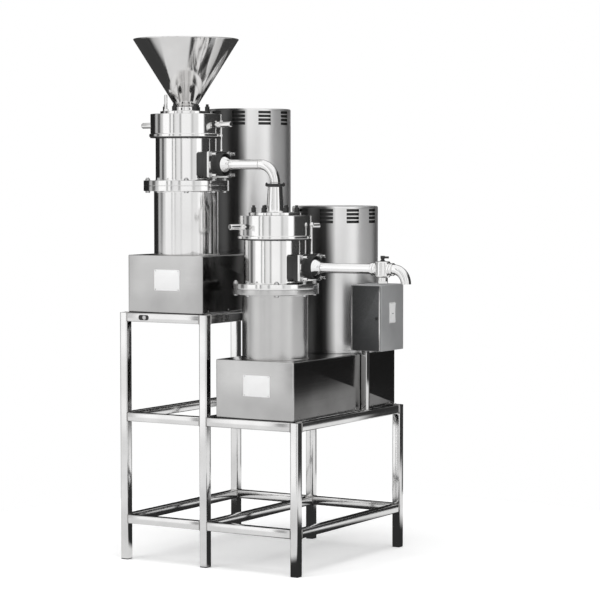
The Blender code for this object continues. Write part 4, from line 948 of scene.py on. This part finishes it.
def control_switch():
    """The rocker in its frame: its face dips by 1 - t^2, for t from -1 to 1 up the face."""
    low, high = box("control_switch")
    x, y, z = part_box("control_box")[1].x, (low[1] + high[1]) / 2, (low[2] + high[2]) / 2
    wide, tall = (high[1] - low[1]) / 2, (high[2] - low[2]) / 2
    frame_x, half_x, corner, edge = x - 0.0012, 0.0028, 0.0012, 0.0006
    upright, level = (half_x, 0.0015, tall + 0.004), (half_x, wide + 0.003, 0.0013)
    bars = [((frame_x, y + to, z), upright) for to in (-wide - 0.0022, wide + 0.0022)]
    bars += [((frame_x, y, z + to), level) for to in (-tall - 0.0026, tall + 0.0026)]
    bezel = [block(*bar, 0, corner, edge) for bar in bars]
    piece("switch_bezel", bezel, WHITE)
    up = np.linspace(-1, 1, 25)
    face = high[0] - 0.0022 * (1 - up**2)
    section = [(low[0], -tall), *zip(face, up * tall), (low[0], tall)]
    section = soft_corners(section, 0.0008, 3, True)
    across = np.linspace(-wide + 0.0004, wide - 0.0004, 8)
    grid = np.zeros((len(across), len(section), 3))
    grid[..., 0] = section[None, :, 0]
    grid[..., 1] = y + across[:, None]
    grid[..., 2] = z + section[None, :, 1]
    piece("switch_rocker", [surface(grid, False)], WHITE, "switch", "control_switch")
    mark_at, mark_half = (high[0] - 0.0022, y, z - 0.003), (0.0006, 0.006, 0.0015)
    mark = block(mark_at, mark_half, 0, corner=0.0012, edge=0.0003)
    piece("switch_mark", [mark], BLACK, "switch")


# ---- Build -------------------------------------------------------------------------------------
INNER_FINISHES = {
    "case_floor": SATIN_SHEET,
    "motor": ENAMEL,
    "drive_belt": RUBBER,
    **dict.fromkeys(("bearing_cartridge", "main_shaft", "rotor", "stator"), MACHINED),
    **dict.fromkeys(("motor_rotor", "mill_pulley", "motor_pulley"), CAST),
}

stand()
hold_down()
seats = {stage: mill_seat(stage) for stage in ("upper", "lower")}
for stage, seat in seats.items():
    belt_case(stage)
    motor_drum(stage)
    for build in (housing, chamber, outlet, adjusting_ring, ring_lock, inlet_cap):
        build(stage, seat)
    for inner, look in INNER_FINISHES.items():
        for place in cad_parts[f"{stage}_{inner}"].material_slots:
            place.material = look
funnel(seats["upper"])
transfer_pipe(seats["upper"], seats["lower"])
for build in (discharge, valve, elbow):
    build(seats["lower"])
control_box()
control_switch()


# ---- Room --------------------------------------------------------------------------------------
# Brightness by degrees from +X, all round the room and, for directions that point down, below it.
ROOM_BANDS = [
    (-176, 0.04), (-174, 0.45), (-163, 0.50), (-160, 0.12), (-150, 0.12), (-147, 0.55),
    (-138, 0.65), (-135, 1.10), (-112, 1.10), (-111, 0.35), (-108, 0.35), (-106, 1.05),
    (-100, 1.05), (-98.5, 0.25), (-96.5, 0.25), (-94, 0.80), (-79, 0.90), (-77, 0.42),
    (-73, 0.42), (-71, 0.98), (-42, 0.95), (-37, 0.50), (-31, 0.78), (-18, 0.80),
    (-15, 1.15), (1, 1.15), (5, 0.05), (92, 0.03), (94, 0.50), (97, 0.50), (99, 0.02),
]
LOW_BANDS = [
    (-180, 0.03), (-176, 0.03), (-168, 0.55), (-150, 0.85), (-20, 0.85),
    (2, 0.80), (10, 0.90), (62, 0.90), (68, 0.05),
]
# How far up a direction points where other light begins and where it has taken over.
LOW_BLEND = (-0.09, -0.125)
CEILING_BLEND = (0.50, 0.80)
WHITE_LIGHT = (1, 1, 1, 1)
FLOOR_RADIUS = 2.1
FLOOR_SIDES = 96
FLOOR_LIFT = 0.30  # of the floor's own light, seen by the camera alone
FLOOR_DROP = 0.001  # below the feet
BEHIND = (0.515, 0.857, 0.0)  # across the floor, toward +59 degrees
# Brightness of the floor in reflections, by metres from the middle along BEHIND.
FLOOR_BANDS = [(-2.1, 0.80), (-0.55, 0.80), (-0.45, 0.03), (0.90, 0.03), (1.30, 0.90), (2.1, 0.90)]


def ramp_of(tree, share, steps):
    """A grey from (place from 0 to 1, value) steps."""
    ramp = node(tree, "ValToRGB", {"Fac": share})
    elements = ramp.color_ramp.elements
    while len(elements) < len(steps):
        elements.new(0.5)
    for element, (place, value) in zip(elements, steps):
        element.position = place
        element.color = (value, value, value, 1)
    return ramp.outputs["Color"]


def bands(tree, turn, steps):
    """Brightness round the room, from (degrees from +X, value) steps."""
    return ramp_of(tree, turn, [((angle + 180) / 360, value) for angle, value in steps])


def choice(tree, ray, first, second):
    """One shader, and another for one kind of ray."""
    kind = node(tree, "LightPath", {}).outputs[ray]
    return node(tree, "MixShader", {"Fac": kind, 1: first, 2: second}).outputs["Shader"]


def room():
    """A studio seen by the metal alone: light and dark screens all round and a light ceiling."""
    world = bpy.data.worlds.new("room")
    bpy.context.scene.world = world
    world.use_nodes = True
    tree = world.node_tree
    tree.nodes.clear()
    place = node(tree, "TexCoord", {}).outputs["Generated"]
    split = node(tree, "SeparateXYZ", {"Vector": place}).outputs
    angle = node(tree, "Math", {})
    angle.operation = "ARCTAN2"
    feed(tree, angle, {0: split["Y"], 1: split["X"]})
    turn = spread(tree, angle.outputs["Value"], 0.0, 1.0, -np.pi, np.pi)
    colour = bands(tree, turn, ROOM_BANDS)
    low = bands(tree, turn, LOW_BANDS)
    for other, (start, full) in ((low, LOW_BLEND), (WHITE_LIGHT, CEILING_BLEND)):
        colour = blend(tree, spread(tree, split["Z"], 0.0, 1.0, start, full), colour, other)
    lit = node(tree, "Background", {"Color": colour}).outputs["Background"]
    seen = node(tree, "Background", {"Color": WHITE_LIGHT}).outputs["Background"]
    node(tree, "OutputWorld", {"Surface": choice(tree, "Is Camera Ray", lit, seen)})


def floor():
    """A round white floor that keeps the object's shadow and is banded in reflections."""
    points = np.vstack([circle(FLOOR_SIDES) * FLOOR_RADIUS, [(0, 0)]])
    points = np.hstack([points, np.zeros((len(points), 1))])
    faces = [(i, (i + 1) % FLOOR_SIDES, FLOOR_SIDES) for i in range(FLOOR_SIDES)]
    mesh = bpy.data.meshes.new("floor")
    mesh.from_pydata(points.tolist(), [], faces)
    material, tree, shader, place = plain("floor_white", grey(0.90), 0.0, 0.9)
    seen = node(tree, "LightPath", {}).outputs["Is Camera Ray"]
    lift = node(tree, "Math", {0: seen, 1: FLOOR_LIFT})
    lift.operation = "MULTIPLY"
    glow = {"Emission Color": WHITE_LIGHT, "Emission Strength": lift.outputs["Value"]}
    feed(tree, shader, glow)
    behind = tree.nodes.new("ShaderNodeVectorMath")
    behind.operation = "DOT_PRODUCT"
    feed(tree, behind, {0: place, 1: BEHIND})
    share = spread(tree, behind.outputs["Value"], 0.0, 1.0, -FLOOR_RADIUS, FLOOR_RADIUS)
    steps = [(0.5 + s / FLOOR_RADIUS / 2, value) for s, value in FLOOR_BANDS]
    reflected = node(tree, "Emission", {"Color": ramp_of(tree, share, steps)}).outputs["Emission"]
    surface_shader = choice(tree, "Is Glossy Ray", shader.outputs["BSDF"], reflected)
    feed(tree, tree.nodes["Material Output"], {"Surface": surface_shader})
    mesh.materials.append(material)
    made = bpy.data.objects.new("floor", mesh)
    made.location.z = -FLOOR_DROP
    bpy.context.scene.collection.objects.link(made)


def aimed(name, data, at, aim):
    """A lamp or camera at a point, aimed at another."""
    made = bpy.data.objects.new(name, data)
    made.location = at
    toward = Vector(aim) - made.location
    made.rotation_euler = toward.to_track_quat("-Z", "Y").to_euler()
    bpy.context.scene.collection.objects.link(made)
    return made


def softbox(name, at, aim, size, power):
    """A square light that metal doesn't mirror."""
    light = bpy.data.lights.new(name, "AREA")
    light.size = size
    light.energy = power
    aimed(name, light, at, aim).visible_glossy = False


room()
floor()
softbox("ceiling_light", at=(0.5, -1.5, 5.5), aim=(0, 0, 0.5), size=4.0, power=110)
softbox("front_light", at=(-3.0, -6.0, 4.6), aim=(0, 0, 1.0), size=2.0, power=60)

lens = bpy.data.cameras.new("camera")
lens.lens = 133
lens.sensor_width = 36
camera = aimed("camera", lens, at=(5.2196, -8.678, 1.752), aim=(0.0, 0.0, 1.187))
bpy.context.scene.camera = camera
bpy.context.scene.view_settings.view_transform = "Standard"
